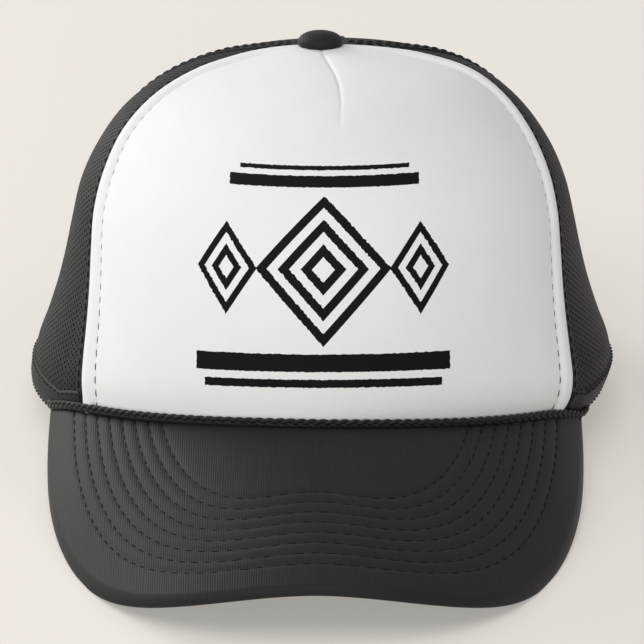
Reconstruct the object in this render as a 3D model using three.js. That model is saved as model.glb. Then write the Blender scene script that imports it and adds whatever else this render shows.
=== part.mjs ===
import * as THREE from 'three';

// A trucker hat: one foam front panel, four net panels, a covered button,
// a curved bill with a braided cord along its seam, and a plain snap strap.
// Lengths are millimetres and angles degrees. The crown's own frame has +Z up,
// the front towards -Y, its axis at x = y = 0 and the rim plane at z = 0.

// Crown
const crownHeight = 108;
const crownHalfWidth = 92.4;
const crownFront = 105;
const crownBack = 96;
const crownLean = 2.4;
const foamWall = 3;
const foamProud = 0.5;
const netWall = 1.2;
const seamGap = 0.3;

// Panel seams, as angles round the crown from the middle of the front
const frontSeamAtRim = 51.2;
const frontSeamAtTop = 112;
const frontTwist = 1.5;
const sideSeamAtRim = 114;
const sideSeamAtTop = 128;
const seamSweep = 2.6;

// Margin that is rolled over along the foam panel's edge, and its stitched groove
const marginWidth = 6.8;
const marginRoll = 0.6;
const marginGroove = 0.6;
const grooveWidth = 1.1;

// Pleat that takes up the foam panel in front of the button
const pleatLength = 60;
const pleatDrift = 3.7;
const pleatDepth = 1.3;
const pleatWidth = 2.4;
const pleatRidgeShare = 0.7;
const pleatTaper = 0.6;
const pleatStart = 0.2;

// Opening at the back and the strap across it
const openingWidth = 76;
const openingHeight = 46;
const strapHeight = 18;
const strapThickness = 1.8;
const strapLift = 2.5;
const strapOverlap = 15;
const strapGap = 0.5;

// Button
const buttonRadius = 7.2;
const buttonHeight = 4.9;
const buttonLip = 0.9;
const shankRadius = 3.4;
const shankLength = 5;
const shankClearance = 0.5;

// Bill
const rootAngle = 63.5;
const billReach = 136.5;
const billHalfWidth = 82.8;
const billSquareness = 2.5;
const billThickness = 3.2;
const billEdgeRound = 1.45;
const billCorner = 0.4;
const billPitch = 11;
const billDroop = 13.3;
const archRootRadius = 131.5;
const archTipRadius = 80;
const billShoulder = 4.8;
const shoulderSquareness = 12;
const shoulderFade = { full: 0.3, gone: 0.9 };

// Braided cord over the seam between crown and bill
const cordDiameter = 2.8;
const cordEndAngle = 66.5;
const cordTuck = 2.2;
const cordGap = 0.45;
const cordRaise = 0.35;

// Cloth pressed flat where the hat rests
const restPress = 0.6;

// Fineness of the faceted surfaces
const crownRows = 20;
const netColumns = 12;
const backColumns = 18;
const billColumns = 44;
const billRows = 9;
const cordSteps = 52;
const cordSides = 8;
const strapColumns = 16;
const buttonSides = 24;
const buttonDomeSteps = 6;
const surfaceProbe = 0.004;
const bisections = 30;

const radians = THREE.MathUtils.degToRad;
const buttonHole = shankRadius + shankClearance;

// Level sections of the crown from rim to top. Rise is a share of the crown's height,
// side, front and back are shares of its reach beyond the button hole, lean is a share
// of crownLean, and the two squareness columns are exponents of the outline (2 is oval).
const crownSections = [
  { rise: 0.000, side: 0.984, front: 0.988, back: 0.965, squareFront: 1.85, squareBack: 2.10, lean: 0.3 },
  { rise: 0.030, side: 0.997, front: 0.994, back: 0.972, squareFront: 1.87, squareBack: 2.10, lean: 0.5 },
  { rise: 0.075, side: 1.000, front: 1.000, back: 0.983, squareFront: 1.91, squareBack: 2.10, lean: 0.9 },
  { rise: 0.130, side: 0.988, front: 0.998, back: 0.994, squareFront: 1.95, squareBack: 2.10, lean: 1.0 },
  { rise: 0.200, side: 0.955, front: 0.990, back: 1.000, squareFront: 1.98, squareBack: 2.10, lean: 1.0 },
  { rise: 0.300, side: 0.915, front: 0.972, back: 0.995, squareFront: 2.00, squareBack: 2.10, lean: 1.0 },
  { rise: 0.400, side: 0.884, front: 0.948, back: 0.980, squareFront: 2.00, squareBack: 2.10, lean: 1.0 },
  { rise: 0.500, side: 0.858, front: 0.915, back: 0.950, squareFront: 2.00, squareBack: 2.10, lean: 1.0 },
  { rise: 0.600, side: 0.828, front: 0.870, back: 0.900, squareFront: 2.00, squareBack: 2.10, lean: 1.0 },
  { rise: 0.700, side: 0.773, front: 0.805, back: 0.830, squareFront: 2.00, squareBack: 2.10, lean: 1.1 },
  { rise: 0.800, side: 0.688, front: 0.705, back: 0.725, squareFront: 2.00, squareBack: 2.05, lean: 1.2 },
  { rise: 0.880, side: 0.575, front: 0.575, back: 0.585, squareFront: 2.00, squareBack: 2.00, lean: 1.6 },
  { rise: 0.935, side: 0.440, front: 0.430, back: 0.430, squareFront: 2.00, squareBack: 2.00, lean: 2.1 },
  { rise: 0.968, side: 0.280, front: 0.280, back: 0.270, squareFront: 2.00, squareBack: 2.00, lean: 2.0 },
  { rise: 0.988, side: 0.135, front: 0.140, back: 0.130, squareFront: 2.00, squareBack: 2.00, lean: 1.3 },
  { rise: 1.000, side: 0.000, front: 0.000, back: 0.000, squareFront: 2.00, squareBack: 2.00, lean: 0.6 },
];

// One smooth curve through each pair of columns
function columnCurve(first, second) {
  return new THREE.SplineCurve(crownSections.map((row) => new THREE.Vector2(row[first], row[second])));
}

const riseAndSide = columnCurve('rise', 'side');
const frontAndBack = columnCurve('front', 'back');
const squareness = columnCurve('squareFront', 'squareBack');
const leanCurve = columnCurve('lean', 'rise');

// Plan position, lean and rise of the crown's outer surface at an angle and level (0 rim, 1 top)
function crownPlan(angle, level) {
  const t = THREE.MathUtils.clamp(level, 0, 1);
  const { x: rise, y: side } = riseAndSide.getPoint(t);
  const { x: front, y: back } = frontAndBack.getPoint(t);
  const { x: squareFront, y: squareBack } = squareness.getPoint(t);
  const ahead = Math.cos(angle) > 0;
  const reach = ahead ? front * (crownFront - buttonHole) : back * (crownBack - buttonHole);
  const halfWidth = buttonHole + side * (crownHalfWidth - buttonHole);
  const exponent = ahead ? squareFront : squareBack;
  const across = Math.abs(Math.sin(angle)) / halfWidth;
  const along = Math.abs(Math.cos(angle)) / (buttonHole + reach);
  const radius = (across ** exponent + along ** exponent) ** (-1 / exponent);
  return {
    x: radius * Math.sin(angle),
    y: -radius * Math.cos(angle),
    radius,
    rise,
    lean: crownLean * leanCurve.getPoint(t).x,
  };
}

const rootEnd = crownPlan(radians(rootAngle), 0);

// Height of the bill's upper surface, and the drop from it to the lower surface
function archRise(x, radius) {
  return radius - Math.sqrt(Math.max(radius * radius - x * x, 1));
}

function billTop(x, y) {
  const share = (rootEnd.y - y) / billReach;
  const radius = THREE.MathUtils.lerp(archRootRadius, archTipRadius, share);
  const crest = billThickness + archRise(rootEnd.x, archRootRadius);
  const fall = Math.tan(radians(billPitch)) * share * billReach + billDroop * share * share;
  const aside = Math.min(Math.abs(x) / rootEnd.x, 1);
  const shoulder = billShoulder * aside * aside * (1 - aside ** shoulderSquareness);
  const fade = 1 - THREE.MathUtils.smoothstep(share, shoulderFade.full, shoulderFade.gone);
  return crest - fall - archRise(x, radius) + shoulder * fade;
}

function billDrop(x, y) {
  const step = 0.1;
  const slopeX = (billTop(x + step, y) - billTop(x - step, y)) / (2 * step);
  const slopeY = (billTop(x, y + step) - billTop(x, y - step)) / (2 * step);
  return billThickness * Math.hypot(1, slopeX, slopeY);
}

// The crown's lower edge: level with the bill's underside in front, flat behind its root ends
function rimHeight(angle) {
  if (Math.abs(angle) >= radians(rootAngle)) {
    return 0;
  }
  const { x, y } = crownPlan(angle, 0);
  return Math.max(billTop(x, y) - billDrop(x, y), 0);
}

function crownPoint(angle, level) {
  const { x, y, rise, lean } = crownPlan(angle, level);
  const base = rimHeight(angle);
  return new THREE.Vector3(x + lean, y, base + (crownHeight - base) * rise);
}

// A point moved outwards (or inwards, if negative) along the crown's surface normal
function crownOffset(angle, level, distance) {
  const low = Math.max(level - surfaceProbe, 0);
  const high = Math.min(level + surfaceProbe, 1);
  const across = crownPoint(angle + surfaceProbe, level).sub(crownPoint(angle - surfaceProbe, level));
  const upwards = crownPoint(angle, high).sub(crownPoint(angle, low));
  return crownPoint(angle, level).addScaledVector(across.cross(upwards).normalize(), distance);
}

// Level at which the crown stands a given height above the rim plane
function levelAtHeight(angle, height) {
  let low = 0;
  let high = 1;
  for (let step = 0; step < bisections; step += 1) {
    const middle = (low + high) / 2;
    if (crownPoint(angle, middle).z < height) {
      low = middle;
    } else {
      high = middle;
    }
  }
  return (low + high) / 2;
}

// Angle of a seam that starts at one angle on the rim and sweeps to another at the top
function seamAngle(atRim, atTop, level) {
  return radians(atRim + (atTop - atRim) * level ** seamSweep);
}

// Outer edge of the bill, from one root end (-1) round to the other (1)
function billEdge(share) {
  const angle = share * Math.PI / 2;
  const across = Math.abs(Math.sin(angle)) / billHalfWidth;
  const along = Math.cos(angle) / billReach;
  const radius = (across ** billSquareness + along ** billSquareness) ** (-1 / billSquareness);
  return new THREE.Vector2(radius * Math.sin(angle), rootEnd.y - radius * Math.cos(angle));
}

// The bill's seam follows the crown, from the lower edge to the height of its upper surface
function billSeam(share) {
  const angle = share * radians(rootAngle);
  const clearance = foamProud + seamGap;
  const upperLevel = levelAtHeight(angle, rimHeight(angle) + billThickness);
  return {
    lower: crownOffset(angle, 0, clearance),
    upper: crownOffset(angle, upperLevel, clearance),
  };
}

// Depths of the points round the bill's rim, as shares of its thickness
const billRimDepths = [0.22, 0.5, 0.78];

// A section of the bill from the seam to the outer edge, rounded over at the edge
function billSection(share) {
  const { lower, upper } = billSeam(share);
  const edge = billEdge(share);
  const start = new THREE.Vector2(upper.x, upper.y);
  edge.x = Math.sign(share) * Math.max(Math.abs(edge.x), Math.abs(start.x) + billCorner);
  const width = start.distanceTo(edge);
  const round = Math.min(billEdgeRound, width / 2);
  const top = [];
  const bottom = [];
  for (let row = 0; row <= billRows; row += 1) {
    const plan = start.clone().lerp(edge, row / billRows * (1 - round / width));
    const height = billTop(plan.x, plan.y);
    top.push(new THREE.Vector3(plan.x, plan.y, height));
    bottom.push(new THREE.Vector3(plan.x, plan.y, height - billDrop(plan.x, plan.y)));
  }
  bottom[0].set(lower.x, lower.y, billTop(lower.x, lower.y) - billDrop(lower.x, lower.y));
  const rim = billRimDepths.map((depth) => {
    const bulge = 1 - round / width * (1 - Math.sin(depth * Math.PI));
    const plan = start.clone().lerp(edge, bulge);
    return new THREE.Vector3(plan.x, plan.y, billTop(plan.x, plan.y) - depth * billDrop(plan.x, plan.y));
  });
  return [...top, ...rim, ...bottom.reverse()];
}

const billSections = [];
for (let column = 0; column <= billColumns; column += 1) {
  billSections.push(billSection(2 * column / billColumns - 1));
}

// The hat rests on the rim beside the back opening and on the corners of the bill
const openingAngle = Math.PI - Math.asin(openingWidth / 2 / crownPlan(Math.PI, 0).radius);
const rearContact = crownPlan(openingAngle, 0).y;
const restSlope = Math.max(...billSections.flat().map(({ y, z }) => -z / (rearContact - y)));

function pressedFlat(point) {
  const ground = restPress - (rearContact - point.y) * restSlope;
  return new THREE.Vector3(point.x, point.y, Math.max(point.z, ground));
}

// A closed solid lofted through loops of points, with a flat cap zipped shut at each end
function loftSolid(loops) {
  const count = loops[0].length;
  const positions = loops.flat().flatMap((point) => point.toArray());
  const index = [];
  const addQuad = (a, b, c, d) => index.push(a, b, c, a, c, d);
  for (let row = 0; row + 1 < loops.length; row += 1) {
    for (let j = 0; j < count; j += 1) {
      const next = (j + 1) % count;
      const here = row * count;
      addQuad(here + j, here + next, here + count + next, here + count + j);
    }
  }
  const last = (loops.length - 1) * count;
  for (let j = 0; j < Math.floor((count - 1) / 2); j += 1) {
    const mate = count - 1 - j;
    index.push(j, mate, j + 1, last + j, last + j + 1, last + mate);
    if (mate - 1 > j + 1) {
      index.push(j + 1, mate, mate - 1, last + j + 1, last + mate - 1, last + mate);
    }
  }
  const geometry = new THREE.BufferGeometry();
  geometry.setAttribute('position', new THREE.Float32BufferAttribute(positions, 3));
  geometry.setIndex(index);
  return facingOut(geometry);
}

// Turns every triangle over if the solid is inside out
function facingOut(geometry) {
  const { position } = geometry.attributes;
  const order = geometry.index.array;
  const corners = [new THREE.Vector3(), new THREE.Vector3(), new THREE.Vector3()];
  let volume = 0;
  for (let i = 0; i < order.length; i += 3) {
    corners.forEach((corner, k) => corner.fromBufferAttribute(position, order[i + k]));
    volume += corners[0].dot(corners[1].cross(corners[2]));
  }
  if (volume < 0) {
    for (let i = 0; i < order.length; i += 3) {
      [order[i + 1], order[i + 2]] = [order[i + 2], order[i + 1]];
    }
  }
  geometry.computeVertexNormals();
  return geometry;
}

function makeMesh(name, geometry, material) {
  const mesh = new THREE.Mesh(geometry, new THREE.MeshStandardMaterial(material));
  mesh.name = name;
  return mesh;
}

// Materials
const whiteFoam = { color: 0xe6e6e4, roughness: 0.9, metalness: 0 };
const blackNet = { color: 0x2b2b2c, roughness: 0.8, metalness: 0 };
const blackTwill = { color: 0x303031, roughness: 0.85, metalness: 0 };
const blackCord = { color: 0x2f2f31, roughness: 0.55, metalness: 0 };
const blackPlastic = { color: 0x1d1d1f, roughness: 0.4, metalness: 0 };

// Half-gap between two sewn edges, as an angle round the crown
function gapAngle(angle, level) {
  return seamGap / 2 / crownPlan(angle, level).radius;
}

// A wall over part of the crown: place(column, row) gives the angle and level of each point
function crownWall(columns, rows, place, outward, inward) {
  const loops = [];
  for (let column = 0; column <= columns; column += 1) {
    const outer = [];
    const inner = [];
    for (let row = 0; row <= rows; row += 1) {
      const { angle, level } = place(column / columns, row / rows);
      outer.push(pressedFlat(crownOffset(angle, level, outward(angle, level))));
      inner.push(pressedFlat(crownOffset(angle, level, -inward)));
    }
    loops.push([...outer, ...inner.reverse()]);
  }
  return loftSolid(loops);
}

// Foam front panel
const foamColumns = [0, 0.014, 0.03, 0.055, 0.1, 0.17, 0.26, 0.35, 0.44, 0.53, 0.62, 0.71, 0.79, 0.86,
  0.91, 0.937, 0.968, 1];

function foamEdge(level) {
  return seamAngle(frontSeamAtRim, frontSeamAtTop, level);
}

function pleatRelief(angle, level) {
  const apex = crownPoint(0, 1);
  const here = crownPoint(angle, level);
  const share = THREE.MathUtils.clamp(Math.hypot(apex.y - here.y, apex.z - here.z) / pleatLength, 0, 1);
  const aside = crownPlan(angle, level).x - pleatDrift * share;
  const fade = (1 - share) ** pleatTaper * THREE.MathUtils.smoothstep(share, 0, pleatStart);
  const valley = Math.exp(-(((aside + pleatWidth / 2) / (pleatWidth * pleatRidgeShare)) ** 2));
  const ridge = Math.exp(-(((aside - pleatWidth / 2) / pleatWidth) ** 2));
  return pleatDepth * fade * (pleatRidgeShare * ridge - valley);
}

// Levels where the margin's relief comes in above the cord and goes out below the button
const marginFade = { from: 0.08, full: 0.16, fading: 0.8, gone: 0.95 };

function foamRelief(angle, level) {
  const { radius } = crownPlan(angle, level);
  const inset = radius * (foamEdge(level) - Math.abs(angle - radians(frontTwist)));
  const fadeIn = THREE.MathUtils.smoothstep(level, marginFade.from, marginFade.full);
  const fadeOut = THREE.MathUtils.smoothstep(level, marginFade.fading, marginFade.gone);
  const fade = fadeIn * (1 - fadeOut);
  const roll = inset < marginWidth ? Math.sin(Math.PI * Math.max(inset, 0) / marginWidth) : 0;
  const groove = Math.exp(-(((inset - marginWidth) / grooveWidth) ** 2));
  return foamProud + fade * (marginRoll * roll - marginGroove * groove) + pleatRelief(angle, level);
}

function frontPanel() {
  const shares = [...foamColumns.slice(1).reverse().map((share) => -share), ...foamColumns];
  const place = (across, level) => {
    const share = shares[Math.round(across * (shares.length - 1))];
    const edge = foamEdge(level);
    const trimmed = edge - gapAngle(edge, level);
    return { angle: radians(frontTwist) + share * trimmed, level };
  };
  return crownWall(shares.length - 1, crownRows, place, foamRelief, foamWall - foamProud);
}

// Net side panel, side is 1 for the wearer's left and -1 for the right
function netSidePanel(side) {
  const place = (across, level) => {
    const front = foamEdge(level) + side * radians(frontTwist);
    const rear = seamAngle(sideSeamAtRim, sideSeamAtTop, level);
    const from = front + gapAngle(front, level);
    const to = rear - gapAngle(rear, level);
    return { angle: side * THREE.MathUtils.lerp(from, to, across), level };
  };
  return crownWall(netColumns, crownRows, place, () => 0, netWall);
}

// The back panel's lower edge runs along the rim and then up round the opening
const rimShare = 0.4;

function backEdge(across) {
  const start = radians(sideSeamAtRim);
  if (across < rimShare) {
    return { angle: THREE.MathUtils.lerp(start, openingAngle, across / rimShare), level: 0 };
  }
  const turn = (across - rimShare) / (1 - rimShare) * Math.PI / 2;
  const angle = Math.PI - (Math.PI - openingAngle) * Math.cos(turn);
  return { angle, level: levelAtHeight(Math.PI, openingHeight * Math.sin(turn)) };
}

function netBackPanel(side) {
  const place = (across, up) => {
    const edge = backEdge(across);
    const level = THREE.MathUtils.lerp(edge.level, 1, up);
    const sweep = (level ** seamSweep - edge.level ** seamSweep) / (1 - edge.level ** seamSweep);
    const top = THREE.MathUtils.lerp(radians(sideSeamAtTop), Math.PI, across);
    const angle = THREE.MathUtils.lerp(edge.angle, top, sweep);
    const gap = gapAngle(angle, level);
    const trim = THREE.MathUtils.lerp(gap, across === 1 ? -gap : 0, across);
    return { angle: side * (angle + trim), level };
  };
  return crownWall(backColumns, crownRows, place, () => 0, netWall);
}

// Covered button on a shank that passes between the panels' tips
function crownButton() {
  const seat = foamProud + seamGap;
  const foot = seat - shankLength;
  const profile = [
    new THREE.Vector2(0, foot),
    new THREE.Vector2(shankRadius, foot),
    new THREE.Vector2(shankRadius, seat),
    new THREE.Vector2(buttonRadius - buttonLip / 2, seat),
  ];
  for (let step = 0; step < buttonDomeSteps; step += 1) {
    const turn = step / buttonDomeSteps * Math.PI / 2;
    const height = buttonLip + (buttonHeight - buttonLip) * Math.sin(turn);
    profile.push(new THREE.Vector2(buttonRadius * Math.cos(turn), seat + height));
  }
  profile.push(new THREE.Vector2(0, seat + buttonHeight));
  const geometry = new THREE.LatheGeometry(profile, buttonSides);
  geometry.rotateX(Math.PI / 2);
  return facingOut(geometry);
}

function bill() {
  return loftSolid(billSections.map((section) => section.map(pressedFlat)));
}

// Braided cord lying in the corner between the crown and the bill
function billCord() {
  const radius = cordDiameter / 2;
  const cordEnd = radians(cordEndAngle);
  const rootEndAngle = radians(rootAngle);
  const points = [];
  for (let step = 0; step <= cordSteps; step += 1) {
    const share = 2 * step / cordSteps - 1;
    const angle = share * cordEnd;
    const onBill = THREE.MathUtils.clamp(angle, -rootEndAngle, rootEndAngle);
    const { x, y } = crownPlan(onBill, 0);
    const seamHeight = billTop(x, y);
    const past = (angle - onBill) / (cordEnd - rootEndAngle);
    const lift = radius + cordRaise + cordGap - cordTuck * past * past;
    const level = levelAtHeight(angle, seamHeight + lift);
    points.push(crownOffset(angle, level, foamProud + radius + cordGap));
  }
  const path = new THREE.CatmullRomCurve3(points);
  const section = new THREE.Shape();
  section.absarc(0, 0, radius, 0, Math.PI * 2);
  return new THREE.ExtrudeGeometry(section, {
    steps: cordSteps,
    curveSegments: cordSides / 2,
    extrudePath: path,
  });
}

// Plain strap across the foot of the back opening, sewn inside the back panels
function snapStrap() {
  const reach = Math.PI - openingAngle + strapOverlap / crownPlan(Math.PI, 0).radius;
  const rows = 3;
  const loops = [];
  for (let column = 0; column <= strapColumns; column += 1) {
    const angle = Math.PI + (2 * column / strapColumns - 1) * reach;
    const outer = [];
    const inner = [];
    for (let row = 0; row <= rows; row += 1) {
      const level = levelAtHeight(angle, strapLift + strapHeight * row / rows);
      outer.push(crownOffset(angle, level, -netWall - strapGap));
      inner.push(crownOffset(angle, level, -netWall - strapGap - strapThickness));
    }
    loops.push([...outer, ...inner.reverse()]);
  }
  return loftSolid(loops);
}

// Assembly in the crown's frame, tipped back as it rests and centred on the ground
const button = makeMesh('crown_button', crownButton(), blackTwill);
button.position.set(crownPlan(0, 1).lean, 0, crownHeight);

const hat = new THREE.Group();
hat.add(
  makeMesh('front_panel', frontPanel(), whiteFoam),
  makeMesh('mesh_side_left', netSidePanel(1), blackNet),
  makeMesh('mesh_side_right', netSidePanel(-1), blackNet),
  makeMesh('mesh_back_left', netBackPanel(1), blackNet),
  makeMesh('mesh_back_right', netBackPanel(-1), blackNet),
  button,
  makeMesh('bill', bill(), blackTwill),
  makeMesh('bill_cord', billCord(), blackCord),
  makeMesh('snap_strap', snapStrap(), blackPlastic),
);
hat.rotation.x = -Math.atan(restSlope);
hat.updateMatrixWorld(true);

const extent = new THREE.Box3().setFromObject(hat, true);
const centre = extent.getCenter(new THREE.Vector3());
hat.position.set(-centre.x, -centre.y, -extent.min.z);

const truckerHat = new THREE.Group();
truckerHat.add(hat);
truckerHat.updateMatrixWorld(true);

export default truckerHat;
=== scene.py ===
"""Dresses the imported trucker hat: foam front, net panels, stitched bill, braided cord, button and strap."""
import math

import bmesh
import bpy
import numpy as np
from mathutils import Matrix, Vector


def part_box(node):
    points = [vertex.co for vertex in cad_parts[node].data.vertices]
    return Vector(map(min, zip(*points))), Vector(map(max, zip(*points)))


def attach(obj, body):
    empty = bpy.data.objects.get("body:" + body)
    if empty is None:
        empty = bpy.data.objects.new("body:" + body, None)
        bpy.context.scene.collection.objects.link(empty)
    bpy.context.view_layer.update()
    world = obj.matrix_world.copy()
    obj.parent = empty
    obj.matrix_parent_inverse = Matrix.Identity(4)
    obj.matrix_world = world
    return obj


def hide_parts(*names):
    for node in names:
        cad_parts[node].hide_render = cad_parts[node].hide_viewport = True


bl_info = {
    "name": "Trucker Hat",
    "version": (1, 0, 0),
    "blender": (4, 5, 0),
    "location": "View3D > Sidebar > Trucker Hat",
    "description": "Makes the cloth, foam, net and cord of a trucker hat around its packed solids",
    "category": "Add Mesh",
}

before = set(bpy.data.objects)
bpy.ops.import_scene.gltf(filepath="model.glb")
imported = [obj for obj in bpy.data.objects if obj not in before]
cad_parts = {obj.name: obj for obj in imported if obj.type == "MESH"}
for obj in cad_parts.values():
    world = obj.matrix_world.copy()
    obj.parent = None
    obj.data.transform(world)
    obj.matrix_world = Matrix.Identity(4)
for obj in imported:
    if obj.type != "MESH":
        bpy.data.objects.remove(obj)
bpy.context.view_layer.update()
BODY = "root"

MM = 0.001

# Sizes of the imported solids, in metres and degrees. The crown's own frame has +Z up,
# the front towards -Y, its axis at x = y = 0 and the rim plane at z = 0.
CROWN_HEIGHT = 0.108
CROWN_HALF_WIDTH = 0.0924
CROWN_FRONT = 0.105
CROWN_BACK = 0.096
CROWN_LEAN = 0.0024
BUTTON_HOLE = 0.0039
FOAM_WALL = 0.003
FOAM_PROUD = 0.0005
NET_WALL = 0.0012
SEAM_GAP = 0.0003
FRONT_SEAM_AT_RIM = 51.2
FRONT_SEAM_AT_TOP = 112.0
FRONT_TWIST = 1.5
SIDE_SEAM_AT_RIM = 114.0
SIDE_SEAM_AT_TOP = 128.0
SEAM_SWEEP = 2.6
MARGIN_WIDTH = 0.0068
PLEAT_LENGTH = 0.060
PLEAT_DRIFT = 0.0037
OPENING_WIDTH = 0.076
OPENING_HEIGHT = 0.046
STRAP_HEIGHT = 0.018
STRAP_THICKNESS = 0.0018
STRAP_LIFT = 0.0025
STRAP_OVERLAP = 0.015
STRAP_GAP = 0.0005
BUTTON_RADIUS = 0.0072
BUTTON_HEIGHT = 0.0049
ROOT_ANGLE = 63.5
BILL_REACH = 0.1365
BILL_HALF_WIDTH = 0.0828
BILL_SQUARENESS = 2.5
BILL_THICKNESS = 0.0032
BILL_EDGE_ROUND = 0.00145
BILL_CORNER = 0.0004
BILL_PITCH = 11.0
BILL_DROOP = 0.0133
ARCH_ROOT_RADIUS = 0.1315
ARCH_TIP_RADIUS = 0.080
BILL_SHOULDER = 0.0048
SHOULDER_SQUARENESS = 12
SHOULDER_FADE = (0.3, 0.9)
CORD_END_ANGLE = 66.5
REST_PRESS = 0.0006
SURFACE_PROBE = 0.004

# Level sections of the crown from rim to top, as shares of the sizes above
SECTION_COLUMNS = ("rise", "side", "front", "back", "square_front", "square_back", "lean")
CROWN_SECTIONS = np.array([
    (0.000, 0.984, 0.988, 0.965, 1.85, 2.10, 0.3),
    (0.030, 0.997, 0.994, 0.972, 1.87, 2.10, 0.5),
    (0.075, 1.000, 1.000, 0.983, 1.91, 2.10, 0.9),
    (0.130, 0.988, 0.998, 0.994, 1.95, 2.10, 1.0),
    (0.200, 0.955, 0.990, 1.000, 1.98, 2.10, 1.0),
    (0.300, 0.915, 0.972, 0.995, 2.00, 2.10, 1.0),
    (0.400, 0.884, 0.948, 0.980, 2.00, 2.10, 1.0),
    (0.500, 0.858, 0.915, 0.950, 2.00, 2.10, 1.0),
    (0.600, 0.828, 0.870, 0.900, 2.00, 2.10, 1.0),
    (0.700, 0.773, 0.805, 0.830, 2.00, 2.10, 1.1),
    (0.800, 0.688, 0.705, 0.725, 2.00, 2.05, 1.2),
    (0.880, 0.575, 0.575, 0.585, 2.00, 2.00, 1.6),
    (0.935, 0.440, 0.430, 0.430, 2.00, 2.00, 2.1),
    (0.968, 0.280, 0.280, 0.270, 2.00, 2.00, 2.0),
    (0.988, 0.135, 0.140, 0.130, 2.00, 2.00, 1.3),
    (1.000, 0.000, 0.000, 0.000, 2.00, 2.00, 0.6),
])


# Shape of the crown

def smoothstep(value, low, high):
    """Rises smoothly from 0 at low to 1 at high."""
    t = np.clip((value - low) / (high - low), 0, 1)
    return t * t * (3 - 2 * t)


def rounded_over(inset, radius):
    """How far an edge rounded to a radius falls away at a distance in from it."""
    return radius * (1 - np.sqrt(1 - (1 - np.clip(inset / radius, 0, 1)) ** 2))


def crown_sections(level):
    """Every column of the crown's table at each level, on one smooth curve."""
    rows = CROWN_SECTIONS
    last = len(rows) - 1
    place = np.clip(level, 0, 1) * last
    start = np.minimum(place.astype(int), last - 1)
    t = (place - start)[..., None]
    before, here = rows[np.maximum(start - 1, 0)], rows[start]
    ahead, beyond = rows[start + 1], rows[np.minimum(start + 2, last)]
    v0, v1 = (ahead - before) / 2, (beyond - here) / 2
    cubic = (2 * here - 2 * ahead + v0 + v1) * t ** 3
    square = (3 * ahead - 3 * here - 2 * v0 - v1) * t ** 2
    values = cubic + square + v0 * t + here
    return dict(zip(SECTION_COLUMNS, np.moveaxis(values, -1, 0)))


def crown_plan(angle, level):
    """Radius, rise and lean of the crown's outer surface."""
    s = crown_sections(level)
    ahead = np.cos(angle) > 0
    reach = np.where(ahead, s["front"] * (CROWN_FRONT - BUTTON_HOLE), s["back"] * (CROWN_BACK - BUTTON_HOLE))
    half_width = BUTTON_HOLE + s["side"] * (CROWN_HALF_WIDTH - BUTTON_HOLE)
    exponent = np.where(ahead, s["square_front"], s["square_back"])
    across = np.abs(np.sin(angle)) / half_width
    along = np.abs(np.cos(angle)) / (BUTTON_HOLE + reach)
    radius = (across ** exponent + along ** exponent) ** (-1 / exponent)
    return radius, s["rise"], CROWN_LEAN * s["lean"]


def arch_rise(x, radius):
    return radius - np.sqrt(np.maximum(radius ** 2 - x ** 2, 1e-6))


ROOT_RADIUS = float(crown_plan(np.radians(ROOT_ANGLE), np.array(0.0))[0])
ROOT_X = ROOT_RADIUS * math.sin(math.radians(ROOT_ANGLE))
ROOT_Y = -ROOT_RADIUS * math.cos(math.radians(ROOT_ANGLE))


def bill_top(x, y):
    """Height of the bill's upper surface."""
    share = (ROOT_Y - y) / BILL_REACH
    radius = ARCH_ROOT_RADIUS + (ARCH_TIP_RADIUS - ARCH_ROOT_RADIUS) * share
    crest = BILL_THICKNESS + arch_rise(ROOT_X, ARCH_ROOT_RADIUS)
    fall = math.tan(math.radians(BILL_PITCH)) * share * BILL_REACH + BILL_DROOP * share ** 2
    aside = np.clip(np.abs(x) / ROOT_X, 0, 1)
    shoulder = BILL_SHOULDER * aside ** 2 * (1 - aside ** SHOULDER_SQUARENESS)
    return crest - fall - arch_rise(x, radius) + shoulder * (1 - smoothstep(share, *SHOULDER_FADE))


def bill_slopes(x, y):
    """Slopes of the bill's upper surface across it and along it."""
    step = 0.1 * MM
    slope_x = (bill_top(x + step, y) - bill_top(x - step, y)) / (2 * step)
    slope_y = (bill_top(x, y + step) - bill_top(x, y - step)) / (2 * step)
    return slope_x, slope_y


def bill_drop(x, y):
    """Drop from the bill's upper surface to its lower one."""
    slope_x, slope_y = bill_slopes(x, y)
    return BILL_THICKNESS * np.sqrt(1 + slope_x ** 2 + slope_y ** 2)


def rim_height(angle):
    """Height of the crown's lower edge: the bill's underside in front, and 0 behind its root ends."""
    radius, _, _ = crown_plan(angle, np.zeros_like(angle))
    x, y = radius * np.sin(angle), -radius * np.cos(angle)
    under = np.maximum(bill_top(x, y) - bill_drop(x, y), 0)
    return np.where(np.abs(angle) >= math.radians(ROOT_ANGLE), 0, under)


def crown_point(angle, level):
    angle, level = np.broadcast_arrays(np.asarray(angle, float), np.asarray(level, float))
    radius, rise, lean = crown_plan(angle, level)
    base = rim_height(angle)
    height = base + (CROWN_HEIGHT - base) * rise
    return np.stack((radius * np.sin(angle) + lean, -radius * np.cos(angle), height), -1)


def crown_normal(angle, level):
    angle, level = np.broadcast_arrays(np.asarray(angle, float), np.asarray(level, float))
    low, high = np.maximum(level - SURFACE_PROBE, 0), np.minimum(level + SURFACE_PROBE, 1)
    across = crown_point(angle + SURFACE_PROBE, level) - crown_point(angle - SURFACE_PROBE, level)
    normal = np.cross(across, crown_point(angle, high) - crown_point(angle, low))
    return normal / np.linalg.norm(normal, axis=-1, keepdims=True)


def crown_offset(angle, level, distance):
    """A point of the crown moved outwards along its surface normal."""
    distance = np.asarray(distance, float)
    return crown_point(angle, level) + crown_normal(angle, level) * distance[..., None]


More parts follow.
